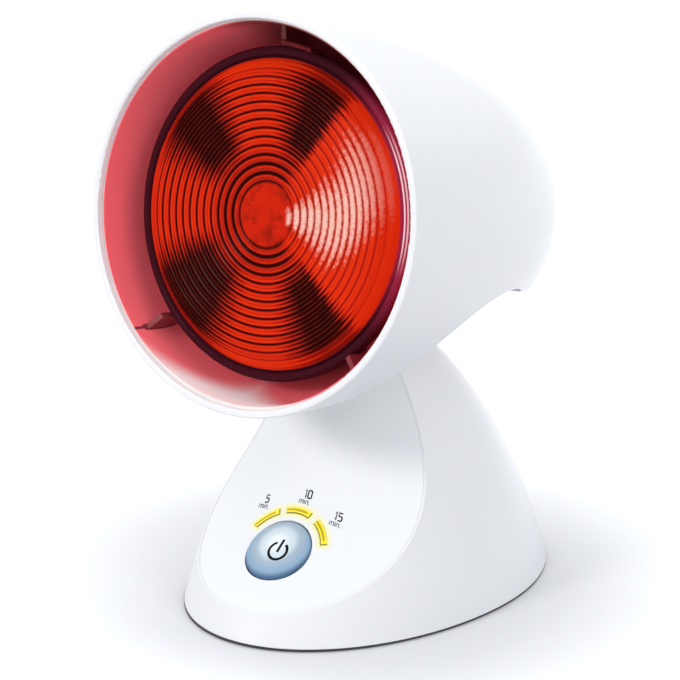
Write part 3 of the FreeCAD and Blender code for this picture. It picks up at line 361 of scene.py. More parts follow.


# ---------------------------------------------------------------------- lens finishes
# By the turn round the lens, in degrees: the side of the painted glints, and the light between its dark
# wedges
GLINT_SIDE = ((0, 1), (50, 1), (66, 0), (306, 0), (324, 1), (360, 1))
WEDGES = ((0, 1), (52, 1), (58, 0), (72, 0), (93, 0.86), (113, 0.86), (132, 0), (150, 0), (171, 0.86),
          (197, 0.86), (214, 0), (242, 0), (262, 0.86), (282, 0.86), (304, 0), (319, 0), (326, 1), (360, 1))
WEDGE_RAGGED = 0.036       # share of a turn that the borders of both wander over
# Painted light and shade from valley to valley of a ridge: a thin dark line of shade and the bright back,
# and a broad line near the middle
THIN_LINES = ((0.0, 0.03), (0.09, 0.06), (0.17, 0.6), (0.3, 0.9), (0.55, 1.0), (0.8, 0.93), (0.88, 0.4),
              (0.94, 0.04), (1.0, 0.03))
BROAD_LINES = ((0.0, 0.03), (0.14, 0.04), (0.28, 0.5), (0.5, 0.88), (0.72, 0.8), (0.86, 0.05), (1.0, 0.03))
# Stretches of the way out from the axis, in millimetres, over which one look gives way to the next
DISC_END = (DISC_R - DISC_STEP, DISC_R + DISC_STEP)
BROAD_LINES_END = (19.0, 26.0)
LINES_FADE = (48.0, 53.0)
WEDGES_START = (17.0, 31.0)
CLOUDS_FADE = (9.0, 18.0)
LIT_BAND_START = (52.0, 54.5)
RIM_START = (LENS_EDGE_R - 1.0, LENS_EDGE_R - 0.5)
# The painted glints: turn upwards in radians over a stretch, and their width in radians and strength by the
# way out
GLINT_TURNS = (33.0, 47.0, math.radians(4), math.radians(24))
GLINT_CREST = 0.53         # where on a ridge they are brightest
LENS_SPAN = 60
GLINT_WIDTHS = ((8, 0.34), (12, 0.46), (20, 0.58), (30, 0.7), (40, 0.64), (47, 0.56), (56, 0.4))
GLINT_LEVELS = ((9, 0), (10.5, 1), (40, 1), (48, 0.6), (55, 0.1))
# The rim: turn of its painted sheen in radians, and its two painted white highlight lines across it
PAINTED_SHEEN_TURN = math.radians(14)
RIM_HIGHLIGHT_LINES = ((0.0, 0), (0.06, 0.95), (0.34, 0.95), (0.42, 0), (0.56, 0), (0.62, 0.7), (0.72, 0.7), (0.78, 0),
             (1.0, 0))


def ring_count(tree, reach):
    """Pressed rings passed on the way out from the middle disc."""
    past = add(tree, "Math", (reach, DISC_R), operation="SUBTRACT")
    rate = add(tree, "Math", (past, RING_CLOSING, 1 / RING_PITCH), operation="MULTIPLY_ADD")
    return add(tree, "Math", (past, rate), operation="MULTIPLY")


def lens_ridges(tree, reach, share, line, faint, ringed, part):
    """Light of the ridges: broad dark lines round the middle, faint ones on the side of the glints."""
    sector = add(tree, "ValToRGB", (part,), stops=over(360, GLINT_SIDE))
    broad = add(tree, "ValToRGB", (share,), stops=BROAD_LINES)
    outer = add(tree, "MapRange", (reach, *BROAD_LINES_END), **SMOOTH)
    ridge = add(tree, "Mix", (outer, broad, line))
    ridge = add(tree, "Mix", (sector, ridge, faint))
    ridge = add(tree, "Mix", (ringed, 0.78, ridge))
    ending = add(tree, "MapRange", (reach, *LINES_FADE, 0.0, 0.8))
    return add(tree, "Mix", (ending, ridge, 0.92))


def lens_light(tree, place, reach, share, ringed, part):
    """Light behind the glass: dark wedges, thin twin lines towards them, and clouds round the middle."""
    wedges = add(tree, "ValToRGB", (part,), stops=over(360, WEDGES))
    deep = add(tree, "MapRange", (reach, *WEDGES_START), **SMOOTH)
    level = add(tree, "Mix", (deep, 0.8, wedges))
    twin = add(tree, "Math", (share, math.tau), operation="MULTIPLY")
    twin = add(tree, "Math", (twin,), operation="SINE")
    twin = add(tree, "Math", (twin,), operation="ABSOLUTE")
    twin = add(tree, "Math", (twin, 0.8, -0.56), operation="MULTIPLY_ADD")
    twin = add(tree, "Math", (twin, ringed), operation="MULTIPLY")
    level = add(tree, "Math", (level, 1.3, twin), operation="MULTIPLY_ADD")
    clouds = add(tree, "TexNoise", {"Vector": place, "Scale": 0.17, "Detail": 6.0, "Roughness": 0.65})
    clouds = add(tree, "Math", (clouds, 0.53), operation="SUBTRACT")
    cloudy = add(tree, "MapRange", (reach, *CLOUDS_FADE, 2.6, 0.3), **SMOOTH)
    clouds = add(tree, "Math", (clouds, cloudy), operation="MULTIPLY")
    level = add(tree, "Math", (level, clouds), operation="ADD", use_clamp=True)
    band = add(tree, "MapRange", (reach, *LIT_BAND_START, 0.0, 0.45))
    return add(tree, "Math", (level, band), operation="ADD")


def painted_lens_glints(tree, place, reach, turn, share, faint):
    """Painted glints of a soft lamp: spear-shaped on every ridge, widest half-way out, turned upwards at the
    edge.
    """
    aim = add(tree, "MapRange", (reach, *GLINT_TURNS))
    out = add(tree, "Math", (reach, 1 / LENS_SPAN), operation="MULTIPLY")
    width = add(tree, "ValToRGB", (out,), stops=over(LENS_SPAN, GLINT_WIDTHS))
    off = add(tree, "Math", (turn, aim), operation="SUBTRACT")
    off = add(tree, "Math", (off, width), operation="DIVIDE")
    off = add(tree, "Math", (off, off), operation="MULTIPLY")
    crest = add(tree, "Math", (share, GLINT_CREST), operation="SUBTRACT")
    crest = add(tree, "Math", (crest, crest), operation="MULTIPLY")
    speckle = add(tree, "TexNoise", {"Vector": place, "Scale": 0.7, "Detail": 6.0, "Roughness": 0.75})
    speckle = add(tree, "MapRange", (speckle, *NOISE_RANGE, 0.05, 0.75))
    painted_glare = add(tree, "Math", (crest, -2.8, speckle), operation="MULTIPLY_ADD")
    painted_glare = add(tree, "Math", (painted_glare, off), operation="SUBTRACT")
    painted_glare = add(tree, "MapRange", (painted_glare, -0.4, 0.45, 0.0, 0.95), **SMOOTH)
    strength = add(tree, "ValToRGB", (out,), stops=over(LENS_SPAN, GLINT_LEVELS))
    return joined(tree, "MULTIPLY", (painted_glare, faint, strength))


def lens_rim(tree, reach, turn):
    """The sealed rim: dark maroon, painted with a magenta sheen and two white highlight lines on the side of
    the glints.
    """
    side = away_from(tree, turn, PAINTED_SHEEN_TURN)
    sheen = add(tree, "MapRange", (side, 0.3, 0.95, 1.0, 0.0), **SMOOTH)
    rim = add(tree, "Mix", (sheen, bpy.context.scene.lamp_colours.rim_glass, "#A52C4C"), data_type="RGBA")
    # Painted highlight: two white lines across the rim
    white = add(tree, "MapRange", (side, 0.2, 0.5, 1.0, 0.0), **SMOOTH)
    across = add(tree, "MapRange", (reach, LENS_EDGE_R, BULB_R))
    lines = add(tree, "ValToRGB", (across,), stops=RIM_HIGHLIGHT_LINES)
    white = add(tree, "Math", (white, lines), operation="MULTIPLY")
    return add(tree, "Mix", (white, rim, "#FFE9EC"), data_type="RGBA")


def ruby_lens_glass():
    # Pressed glass stained ruby, lit from behind, with its light and shade painted on: bright red ridges with
    # thin dark valleys of painted shade between them, four dark wedges where the reflector sends no light,
    # and painted pale pink glints of a soft lamp on one side
    colours = bpy.context.scene.lamp_colours
    material, tree, shader = finish("Pressed Ruby Glass", {"Roughness": 0.2, "IOR": 1.5,
                                                           "Specular IOR Level": 0.012,
                                                           "Emission Strength": 0.06})
    place = place_in(tree, HEAD, -REST_PITCH)
    _, reach, turn = about_axis(tree, place, "Z")
    ragged = add(tree, "TexNoise", {"W": reach, "Scale": 1.4, "Detail": 4.0}, noise_dimensions="1D")
    part = add(tree, "Math", (turn, 1 / math.tau, 1 - WEDGE_RAGGED / 2), operation="MULTIPLY_ADD")
    part = add(tree, "Math", (ragged, WEDGE_RAGGED, part), operation="MULTIPLY_ADD")
    part = add(tree, "Math", (part,), operation="FRACT")
    share = add(tree, "Math", (ring_count(tree, reach),), operation="FRACT")
    line = add(tree, "ValToRGB", (share,), stops=THIN_LINES)
    faint = add(tree, "MapRange", (line, 0.0, 1.0, 0.5, 1.0))
    ringed = add(tree, "MapRange", (reach, *DISC_END))
    ridges = lens_ridges(tree, reach, share, line, faint, ringed, part)
    light = lens_light(tree, place, reach, share, ringed, part)
    level = add(tree, "Math", (light, ridges), operation="MULTIPLY", use_clamp=True)
    glass = add(tree, "ValToRGB", (level,),
                stops=((0.0, colours.glass_dark), (0.22, "#5C100A"), (0.5, "#A51E10"),
                       (0.8, colours.glass_bright), (1.0, "#E2330F")))
    # Painted glints of a soft lamp on the ridges, mixed over the glass
    glints = painted_lens_glints(tree, place, reach, turn, share, faint)
    glass = add(tree, "Mix", (glints, glass, colours.painted_glass_glint), data_type="RGBA")
    edge = add(tree, "MapRange", (reach, *RIM_START))
    glass = add(tree, "Mix", (edge, glass, lens_rim(tree, reach, turn)), data_type="RGBA")
    feed(tree, shader, {"Base Color": glass, "Emission Color": glass})
    return material


# --------------------------------------------------------------------- guard finishes
# Depths behind the lip, in millimetres
GUARD_SHADE_DEPTHS = (18.0, 50.0)  # where painted shade darkens the guard
FIN_FRONT = (7.2, 7.7)     # where a painted seam of shade widens to its fin
FIN_FADE = (22.0, 30.0)
PALE_DEPTH = 28.0
# Turns round the guard, in shares of a turn
PALE_TURN = 265 / 360
PALE_HALF = 38 / 360       # half the pale wedge's width at the lip
PALE_EDGE = (-16 / 360, 5 / 360)
SEAM_HALF = 0.3 / 360
FIN_HALF = 1.0 / 360
FIN_EDGE = 0.35 / 360
GUARD_SKIN = 0.3           # of its wall's thickness, over which inside turns to outside


def guard_fin_shade(tree, depth, part):
    """Strength of the painted shade on the dark fins, and on the seam that runs from each to the lip."""
    wide = add(tree, "MapRange", (depth, *FIN_FRONT, SEAM_HALF, FIN_HALF))
    near = add(tree, "MapRange", (depth, *FIN_FADE, 1.0, 0.0))
    seams = []
    for angle in FIN_ANGLES:
        off = add(tree, "Math", (away_from(tree, part, angle / 360), wide), operation="SUBTRACT")
        seams.append(add(tree, "MapRange", (off, 0.0, FIN_EDGE, 0.85, 0.0)))
    return add(tree, "Math", (joined(tree, "MAXIMUM", seams), near), operation="MULTIPLY")


def guard_outside(tree, depth, reach):
    """1 on the outside of the guard's wall and 0 on its inside."""
    span = GUARD_WALL[-1][0]
    wide = GUARD_WALL[0][1]
    deep = add(tree, "Math", (depth, 1 / span), operation="MULTIPLY")
    shares = [(place, radius / wide) for place, radius in GUARD_WALL]
    wall = add(tree, "ValToRGB", (deep,), stops=over(span, shares))
    beyond = add(tree, "Math", (wall, -wide, reach), operation="MULTIPLY_ADD")
    return add(tree, "MapRange", (beyond, 0.0, GUARD_SKIN))


def red_lit_guard():
    # White-enamelled sheet that the bulb fills with red light, painted on it and made to glow: rose all
    # round, brown in painted shade at the top, painted shade deep behind the bulb, dark fins in painted
    # shade, and a painted pale wedge at the bottom where daylight falls in; its outside, where no red light
    # falls, is plain white
    colours = bpy.context.scene.lamp_colours
    material, tree, shader = finish("Red Lit Enamel", {"Roughness": 0.4, "Specular IOR Level": 0.2,
                                                       "Emission Strength": 0.08})
    grain(tree, shader, 1.2, 0.002, 0.04)
    parts, reach, turn = about_axis(tree, place_in(tree, HEAD, -REST_PITCH), "Z")
    depth = parts["Y"]
    part = add(tree, "Math", (turn, 1 / math.tau, 1.0), operation="MULTIPLY_ADD")
    part = add(tree, "Math", (part,), operation="FRACT")
    rose = colours.bowl_rose
    brown = colours.bowl_brown
    walls = add(tree, "ValToRGB", (part,), blend="EASE",
                stops=over(360, ((0, rose), (25, rose), (72, brown), (98, brown), (118, rose), (360, rose))))
    # Painted shade: the guard darkens deep behind the bulb
    deep = add(tree, "MapRange", (depth, *GUARD_SHADE_DEPTHS, 0.0, 0.9), **SMOOTH)
    walls = add(tree, "Mix", (deep, walls, colours.painted_deep_shade), data_type="RGBA")
    width = add(tree, "MapRange", (depth, 0.0, PALE_DEPTH, PALE_HALF, 0.0))
    low = add(tree, "Math", (away_from(tree, part, PALE_TURN), width), operation="SUBTRACT")
    pale = add(tree, "MapRange", (low, *PALE_EDGE, 0.92, 0.0), **SMOOTH)
    walls = add(tree, "Mix", (pale, walls, colours.bowl_pale), data_type="RGBA")
    walls = add(tree, "Mix", (guard_fin_shade(tree, depth, part), walls, colours.painted_fin_shade), data_type="RGBA")
    outside = guard_outside(tree, depth, reach)
    skin = add(tree, "Mix", (outside, walls, "#ECEAE6"), data_type="RGBA")
    lit = add(tree, "Mix", (outside, walls, "#000000"), data_type="RGBA")
    feed(tree, shader, {"Base Color": skin, "Emission Color": lit})
    return material


# ---------------------------------------------------------- bulb and holder finishes
def mirrored_glass():
    # Blown glass aluminised inside: a bright, slightly rippled mirror
    return plain_finish("Aluminised Glass",
                        {"Metallic": 1.0, "Roughness": 0.14, "Coat Weight": 1.0, "Coat Roughness": 0.02},
                        (6.0, 0.02, 0.03), ("#B9B2B2", "#CFC9C8", 12))


def nickel_cap():
    # Rolled nickel-plated brass of a lamp cap: satin metal with the turns of its thread pressed in
    material, tree, shader = finish("Nickel Plated Brass", {"Metallic": 1.0, "Roughness": 0.26})
    thread_pitch = 3.62
    parts, _, turn = about_axis(tree, place_in(tree, HEAD, -REST_PITCH), "Z")
    phase = add(tree, "Math", (parts["Y"], math.tau / thread_pitch, turn), operation="MULTIPLY_ADD")
    wave = add(tree, "Math", (phase,), operation="SINE")
    bump = add(tree, "Bump", {"Height": wave, "Distance": 0.35 * MM, "Strength": 1.0})
    feed(tree, shader, {"Normal": bump})
    clouded(tree, shader, "#B8B4A8", "#CAC6BA", 5)
    return material


def black_vitrite():
    # Fused black glass at the end of a lamp cap: deep black, smooth and shiny
    return plain_finish("Black Vitrite", {"Roughness": 0.12, "IOR": 1.55},
                        (0.8, 0.004, 0.03), ("#0B0B0D", "#17171A", 3))


def tungsten_wire():
    # Drawn tungsten and its glass stem: dull dark grey
    return plain_finish("Drawn Tungsten", {"Metallic": 0.8, "Roughness": 0.4},
                        (0.3, 0.003, 0.06), ("#7C7C80", "#96969A", 2))


def glazed_porcelain():
    # Pressed and glazed porcelain: cream white under a wet-looking glaze
    return plain_finish("Glazed Porcelain",
                        {"Roughness": 0.15, "IOR": 1.52, "Coat Weight": 0.8, "Coat Roughness": 0.05},
                        (1.5, 0.006, 0.04), ("#ECE8DF", "#F3F0E8", 9))


def bare_brass():
    # Pressed brass sheet: warm yellow metal, lightly dulled
    return plain_finish("Bare Brass", {"Metallic": 1.0, "Roughness": 0.28},
                        (0.4, 0.002, 0.06), ("#B7995A", "#CDB170", 3))


def zinc_plated_steel():
    # Sheet and screws, bright zinc plated: pale bluish metal with faint spangle
    return plain_finish("Zinc Plated Steel", {"Metallic": 1.0, "Roughness": 0.3},
                        (0.5, 0.002, 0.05), ("#AEB2B6", "#C3C6C9", 3))


def grey_nylon():
    # Glass-filled nylon, moulded: matte mid grey with a fibrous grain
    return plain_finish("Glass Filled Nylon", {"Roughness": 0.55, "IOR": 1.53},
                        (0.7, 0.012, 0.06), ("#A9ABAE", "#B6B8BB", 8))


def spring_clip_steel():
    # Spring steel beside the hot bulb: dark brown red
    return plain_finish("Tempered Spring Steel", {"Metallic": 0.7, "Roughness": 0.25},
                        (0.5, 0.002, 0.04), ("#5A1F26", "#7A3038", 4))


# ------------------------------------------------- underside and electronics finishes
def dark_textured_abs():
    # ABS from a spark-eroded mould: charcoal, matte, with a fine pebble
    return plain_finish("Dark Textured ABS", {"Roughness": 0.6, "IOR": 1.53},
                        (0.45, 0.02, 0.06), ("#2C2C2F", "#37373A", 10))


def black_rubber():
    # Moulded rubber: near-black, dusty and matte
    return plain_finish("Black Rubber", {"Roughness": 0.75, "IOR": 1.52},
                        (0.6, 0.015, 0.06), ("#19191B", "#242426", 4))


def solder_masked_board():
    # Glass-epoxy board under green solder mask, with copper tracks that show through as lighter bands
    material, tree, shader = finish("Solder Masked Board", {"Roughness": 0.35, "IOR": 1.5})
    grain(tree, shader, 0.4, 0.004, 0.05)
    track_length = 3.0   # a brick of the texture is half of its unit long
    tracks = add(tree, "TexBrick", {"Vector": object_place(tree), "Scale": 0.5 / (track_length * MM),
                                    "Mortar Size": 0.06, "Color1": "#17633A", "Color2": "#1B6B40",
                                    "Mortar": "#3E8F5C"})
    feed(tree, shader, {"Base Color": tracks})
    return material


def blue_polyamide():
    # Moulded polyamide cases of relays and terminals: saturated blue, half gloss
    return plain_finish("Blue Polyamide", {"Roughness": 0.4, "IOR": 1.53},
                        (0.5, 0.004, 0.05), ("#25509F", "#2D5CB0", 6))


def black_sleeving():
    # Shrunk PVC sleeve over an aluminium can: black with a soft shine
    return plain_finish("Black PVC Sleeving", {"Roughness": 0.32, "IOR": 1.53},
                        (1.0, 0.006, 0.05), ("#151517", "#202023", 4))


def laminated_core():
    # Stacked and varnished transformer sheets: grey steel with parallel lines, drawn coarser than its sheets
    material, tree, shader = finish("Laminated Steel", {"Metallic": 0.9, "Roughness": 0.42})
    line_spacing = 3.14   # the texture has a band in every 0.314 of its unit
    sheets = add(tree, "TexWave", {"Vector": object_place(tree), "Scale": 0.314 / (line_spacing * MM),
                                   "Distortion": 0.4}, bands_direction="Y")
    bump = add(tree, "Bump", {"Height": sheets, "Distance": 0.05 * MM, "Strength": 1.0})
    feed(tree, shader, {"Normal": bump})
    clouded(tree, shader, "#76777A", "#8A8B8E", 3)
    return material


def yellow_epoxy():
    # Tinted epoxy of a small indicator light: clear yellow that glows
    material, tree, shader = finish("Yellow LED Epoxy", {"Roughness": 0.2, "IOR": 1.5,
                                                         "Emission Strength": 0.6})
    grain(tree, shader, 0.6, 0.003, 0.04)
    tint = clouded(tree, shader, bpy.context.scene.lamp_colours.light, "#FFF27A", 1.5)
    feed(tree, shader, {"Emission Color": tint})
    return material


# -------------------------------------------------------------- finishes on the panel
def lit_window():
    # Translucent yellow polycarbonate lit from behind: bright yellow with an ochre line along its middle,
    # dark where its inner edge meets the panel, and plain at its right-hand end, which stops in a dark line
    colours = bpy.context.scene.lamp_colours
    light = colours.light
    core = colours.light_core
    dark = "#82761E"
    material, tree, shader = finish("Lit Yellow Window", {"Roughness": 0.22, "IOR": 1.58,
                                                          "Emission Strength": 0.3})
    grain(tree, shader, 0.5, 0.002, 0.04)
    _, reach, turn = about_axis(tree, place_in(tree, PANEL, PANEL_TILT), "Y")
    across = add(tree, "MapRange", (reach, LIGHT_INNER_R, LIGHT_OUTER_R))
    bands = add(tree, "ValToRGB", (across,),
                stops=((0.0, "#6E641A"), (0.15, dark), (0.23, light), (0.36, light), (0.43, core),
                       (0.7, core), (0.78, light), (0.9, light), (0.96, "#CDBB3A"), (1.0, "#CDBB3A")))
    ends = [away_from(tree, turn, math.radians(angle - LIGHT_SPAN / 2)) for angle in LIGHT_ANGLES]
    along = add(tree, "Math", (joined(tree, "MINIMUM", ends), LIGHT_MIDDLE_R), operation="MULTIPLY")
    plain = add(tree, "MapRange", (along, *PLAIN_END, 0.8, 0.0))
    inside = add(tree, "MapRange", (across, *INNER_LINE))
    plain = add(tree, "Math", (plain, inside), operation="MULTIPLY")
    bands = add(tree, "Mix", (plain, bands, light), data_type="RGBA")
    end = add(tree, "MapRange", (along, *END_LINE, 1.0, 0.0))
    bands = add(tree, "Mix", (end, bands, dark), data_type="RGBA")
    feed(tree, shader, {"Base Color": bands, "Emission Color": bands})
    return material


def satin_button_paint():
    # Satin blue-grey paint with fine flakes, with light and shade painted on: a painted highlight
    # makes the middle of the dome almost white, painted shade leaves it steel blue at its foot,
    # and a dark line of painted shade rings the foot
    colours = bpy.context.scene.lamp_colours
    material, tree, shader = finish("Blue Grey Satin Paint", {"Roughness": 0.5, "Specular IOR Level": 0.2})
    grain(tree, shader, 0.12, 0.0008, 0.05)   # flakes of about 0.05 mm, drawn at 0.12 mm
    parts, reach, _ = about_axis(tree, place_in(tree, PANEL, PANEL_TILT), "Y")
    moved = [add(tree, "Math", (parts[i], -HIGHLIGHT_PLACE[i]), operation="ADD") for i in (0, 1)]
    spread = add(tree, "VectorMath", (add(tree, "CombineXYZ", moved),), operation="LENGTH")
    spread = add(tree, "MapRange", (spread, 0.0, HIGHLIGHT_R))
    painted_light = add(tree, "ValToRGB", (spread,), blend="EASE",
                stops=((0.12, colours.button_highlight), (0.36, "#DAE5EC"), (0.58, "#A9BCCB"), (0.76, "#93B0CA"),
                       (0.93, colours.button_shaded_blue)))
    # Painted shade: a dark line round the button's foot
    foot_shade = add(tree, "MapRange", (reach, *FOOT_SHADE_LINE, 0.0, 0.3))
    feed(tree, shader, {"Base Color": add(tree, "Mix", (foot_shade, painted_light, "#47617C"), data_type="RGBA")})
    return material


def printing_ink():
    # Pad-printed ink: flat black, a hair thick
    ink = bpy.context.scene.lamp_colours.print_ink
    return plain_finish("Pad Printing Ink", {"Roughness": 0.6, "Specular IOR Level": 0.1},
                        (0.2, 0.001, 0.05), (ink, [c * 1.25 for c in ink], 1))


# ----------------------------------------------------------------------- mesh helpers
def dress(material, *names):
    """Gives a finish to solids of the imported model."""
    for name in names:
        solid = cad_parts[name]
        solid.data.materials.clear()
        solid.data.materials.append(material)


def mesh_of(form, name):
    """Turns a bmesh into a mesh."""
    mesh = bpy.data.meshes.new(name)
    form.to_mesh(mesh)
    form.free()
    return mesh


def new_piece(name, form, axes, body, material, nodes=(), sharp=35.0):
    """Makes an object of a bmesh drawn in millimetres in some axes, sets it on its body and hides what it
    replaces.
    """
    form.transform(axes @ Matrix.Scale(MM, 4))
    bmesh.ops.remove_doubles(form, verts=form.verts, dist=MERGE * MM)
    bmesh.ops.recalc_face_normals(form, faces=form.faces)
    for face in form.faces:
        face.smooth = True
    for edge in form.edges:
        edge.smooth = not (edge.is_manifold and edge.calc_face_angle(0) > math.radians(sharp))
    mesh = mesh_of(form, name)
    mesh.materials.append(material)
    piece = bpy.data.objects.new(name, mesh)
    bpy.context.scene.collection.objects.link(piece)
    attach(piece, body)
    if nodes:
        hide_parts(*nodes)


def spun(points, axis, steps):
    """Turns an open chain of points about an axis into a closed skin."""
    form = bmesh.new()
    chain = [form.verts.new(point) for point in points]
    edges = [form.edges.new(pair) for pair in zip(chain, chain[1:])]
    bmesh.ops.spin(form, geom=chain + edges, cent=(0, 0, 0), axis=axis, angle=math.tau, steps=steps,
                   use_merge=True)
    bmesh.ops.remove_doubles(form, verts=form.verts, dist=MERGE)
    return form


def swept(corners, axis, angle, steps):
    """Turns a closed section about an axis by less than a full turn into a closed bar."""
    form = bmesh.new()
    face = form.faces.new([form.verts.new(corner) for corner in corners])
    bmesh.ops.spin(form, geom=[face] + list(face.edges), cent=(0, 0, 0), axis=axis, angle=angle, steps=steps)
    return form


def stroke_along(points, half_width, height):
    """Closed flat stroke that follows points on a plane, for print and symbols."""
    curve = bpy.data.curves.new("stroke", "CURVE")
    curve.dimensions = "3D"
    curve.bevel_depth = half_width
    curve.bevel_resolution = 2
    curve.use_fill_caps = True
    line = curve.splines.new("POLY")
    line.points.add(len(points) - 1)
    for point, place in zip(line.points, points):
        point.co = (place[0], place[1], 0, 1)
    stroke = bpy.data.objects.new("stroke", curve)
    mesh = bpy.data.meshes.new_from_object(stroke)
    bpy.data.objects.remove(stroke)
    bpy.data.curves.remove(curve)
    mesh.transform(Matrix.Diagonal((1, 1, height / half_width, 1)))
    return mesh


def settle_on_panel(form, proud):
    """Drops a form, drawn flat in panel axes, on to the panel's curved face."""
    up = PANEL.to_3x3() @ Vector((0, 1, 0))
    out = PANEL.to_3x3() @ Vector((0, 0, 1))
    origin = PANEL.translation / MM
    tries = 12
    share = 0.7   # of the remaining gap, taken up at each try
    for vert in form.verts:
        x, y, z = vert.co
        drop = 0.0
        for _ in range(tries):
            place = origin + Vector((x, 0, 0)) + up * y + out * drop
            drop += (panel_y(x, place.z) - place.y) / out.y * share
        vert.co.z = drop + z + proud


def dome_height(sizes, reach):
    """Height of the button's dome over its edge, at a distance from the axis."""
    return sizes.button_proud + sizes.button_dome * (1 - (reach / BUTTON_SHOULDER_R) ** 2)


# ------------------------------------------------------------------ sizes and colours
COLOUR = {"subtype": "COLOR", "size": 3, "min": 0, "max": 1}


class LampSizes(bpy.types.PropertyGroup):
    face_lift: FloatProperty(name="Lens Face", description="Lens face in front of its rim, in mm",
                             default=5.6, min=0.0, max=12.0)
    dish: FloatProperty(name="Lens Dish", description="Hollow of the lens face towards its middle, in mm",
                        default=1.8, min=0.0, max=4.0)
    ridge_height: FloatProperty(name="Ridge Height", description="Height of a pressed ring, in mm",
                                default=0.3, min=0.0, max=2.0)
    turns: IntProperty(name="Turning Steps", description="Steps round the lens", default=192, min=24, max=360)
    button_proud: FloatProperty(name="Button Height", description="Edge of the button above the panel, in mm",
                                default=0.5, min=0.0, max=4.0)
    button_dome: FloatProperty(name="Button Dome", description="Rise of the button's dome, in mm",
                               default=1.4, min=0.0, max=5.0)
    symbol_radius: FloatProperty(name="Symbol Radius", description="Ring of the power symbol, in mm",
                                 default=3.75, min=1.0, max=8.0)
    symbol_weight: FloatProperty(name="Symbol Weight", description="Line width of the power symbol, in mm",
                                 default=1.1, min=0.2, max=2.0)
    digit_height: FloatProperty(name="Digit Height", description="Height of the timer's digits, in mm",
                                default=3.1, min=1.0, max=8.0)
    print_weight: FloatProperty(name="Print Weight", description="Line width of the timer's print, in mm",
                                default=0.62, min=0.1, max=1.0)


class LampColours(bpy.types.PropertyGroup):
    housing: FloatVectorProperty(name="Housing", description="Hood and base",
                                 default=srgb("#F3F3F4"), **COLOUR)
    panel: FloatVectorProperty(name="Panel", description="Control panel",
                               default=srgb("#F5F6F8"), **COLOUR)
    # Painted glow of the lit windows on the panel beside them
    glow: FloatVectorProperty(name="Glow", description="Panel beside the lit windows",
                              default=srgb("#FDF6A6"), **COLOUR)
    glass_bright: FloatVectorProperty(name="Lit Glass", description="Lens where it is lit",
                                      default=srgb("#CE250E"), **COLOUR)
    glass_dark: FloatVectorProperty(name="Dark Glass", description="Lens in its dark wedges",
                                    default=srgb("#1C0403"), **COLOUR)
    # Painted glints of a soft lamp on the lens's ridges
    painted_glass_glint: FloatVectorProperty(name="Glass Glints", description="Soft lamp mirrored on the ridges",
                                     default=srgb("#F7C3B2"), **COLOUR)
    rim_glass: FloatVectorProperty(name="Rim Glass", description="Sealed rim round the lens",
                                   default=srgb("#3E131D"), **COLOUR)
    bowl_rose: FloatVectorProperty(name="Guard", description="Heat guard in red light",
                                   default=srgb("#FF7079"), **COLOUR)
    bowl_brown: FloatVectorProperty(name="Guard Top", description="Shaded top of the guard",
                                    default=srgb("#7E2E30"), **COLOUR)
    # Painted shade deep in the guard, behind the bulb
    painted_deep_shade: FloatVectorProperty(name="Guard Depth", description="Guard behind the bulb",
                                   default=srgb("#6E1620"), **COLOUR)
    # Painted shade of the fins and of their seams
    painted_fin_shade: FloatVectorProperty(name="Guard Fins", description="Fins and seams of the guard",
                                  default=srgb("#4E151B"), **COLOUR)
    bowl_pale: FloatVectorProperty(name="Guard Bottom", description="Pale wedge of the guard",
                                   default=srgb("#FFF4F2"), **COLOUR)
    light: FloatVectorProperty(name="Windows", description="Timer windows",
                               default=srgb("#F6E024"), **COLOUR)
    light_core: FloatVectorProperty(name="Window Core", description="Line along a window",
                                    default=srgb("#B29A0C"), **COLOUR)
    # Painted highlight on the dome, and its blue in painted shade at the foot
    button_highlight: FloatVectorProperty(name="Button Middle", description="Top of the button",
                                       default=srgb("#F4FAFC"), **COLOUR)
    button_shaded_blue: FloatVectorProperty(name="Button Edge", description="Foot of the button",
                                     default=srgb("#48698A"), **COLOUR)
    print_ink: FloatVectorProperty(name="Print", description="Digits and symbol",
                                   default=srgb("#0B0B0E"), **COLOUR)
    floor: FloatVectorProperty(name="Floor", description="Floor under the lamp",
                               default=srgb("#C2C3C6"), **COLOUR)


# ------------------------------------------------------------------------------- head
class LAMP_OT_housing(bpy.types.Operator):
    """Dress the white housing: the hood, the cover under it, the base and the axle's caps"""
    bl_idname = "lamp.housing"
    bl_label = "Housing"

    def execute(self, context):
        dress(gloss_white_abs(), "hood_shell", "underside_cover", "base_shell", "axle_caps")
        return {"FINISHED"}


class LAMP_OT_guard(bpy.types.Operator):
    """Dress the red-lit heat guard"""
    bl_idname = "lamp.guard"
    bl_label = "Heat Guard"

    def execute(self, context):
        dress(red_lit_guard(), "inner_bowl")
        return {"FINISHED"}


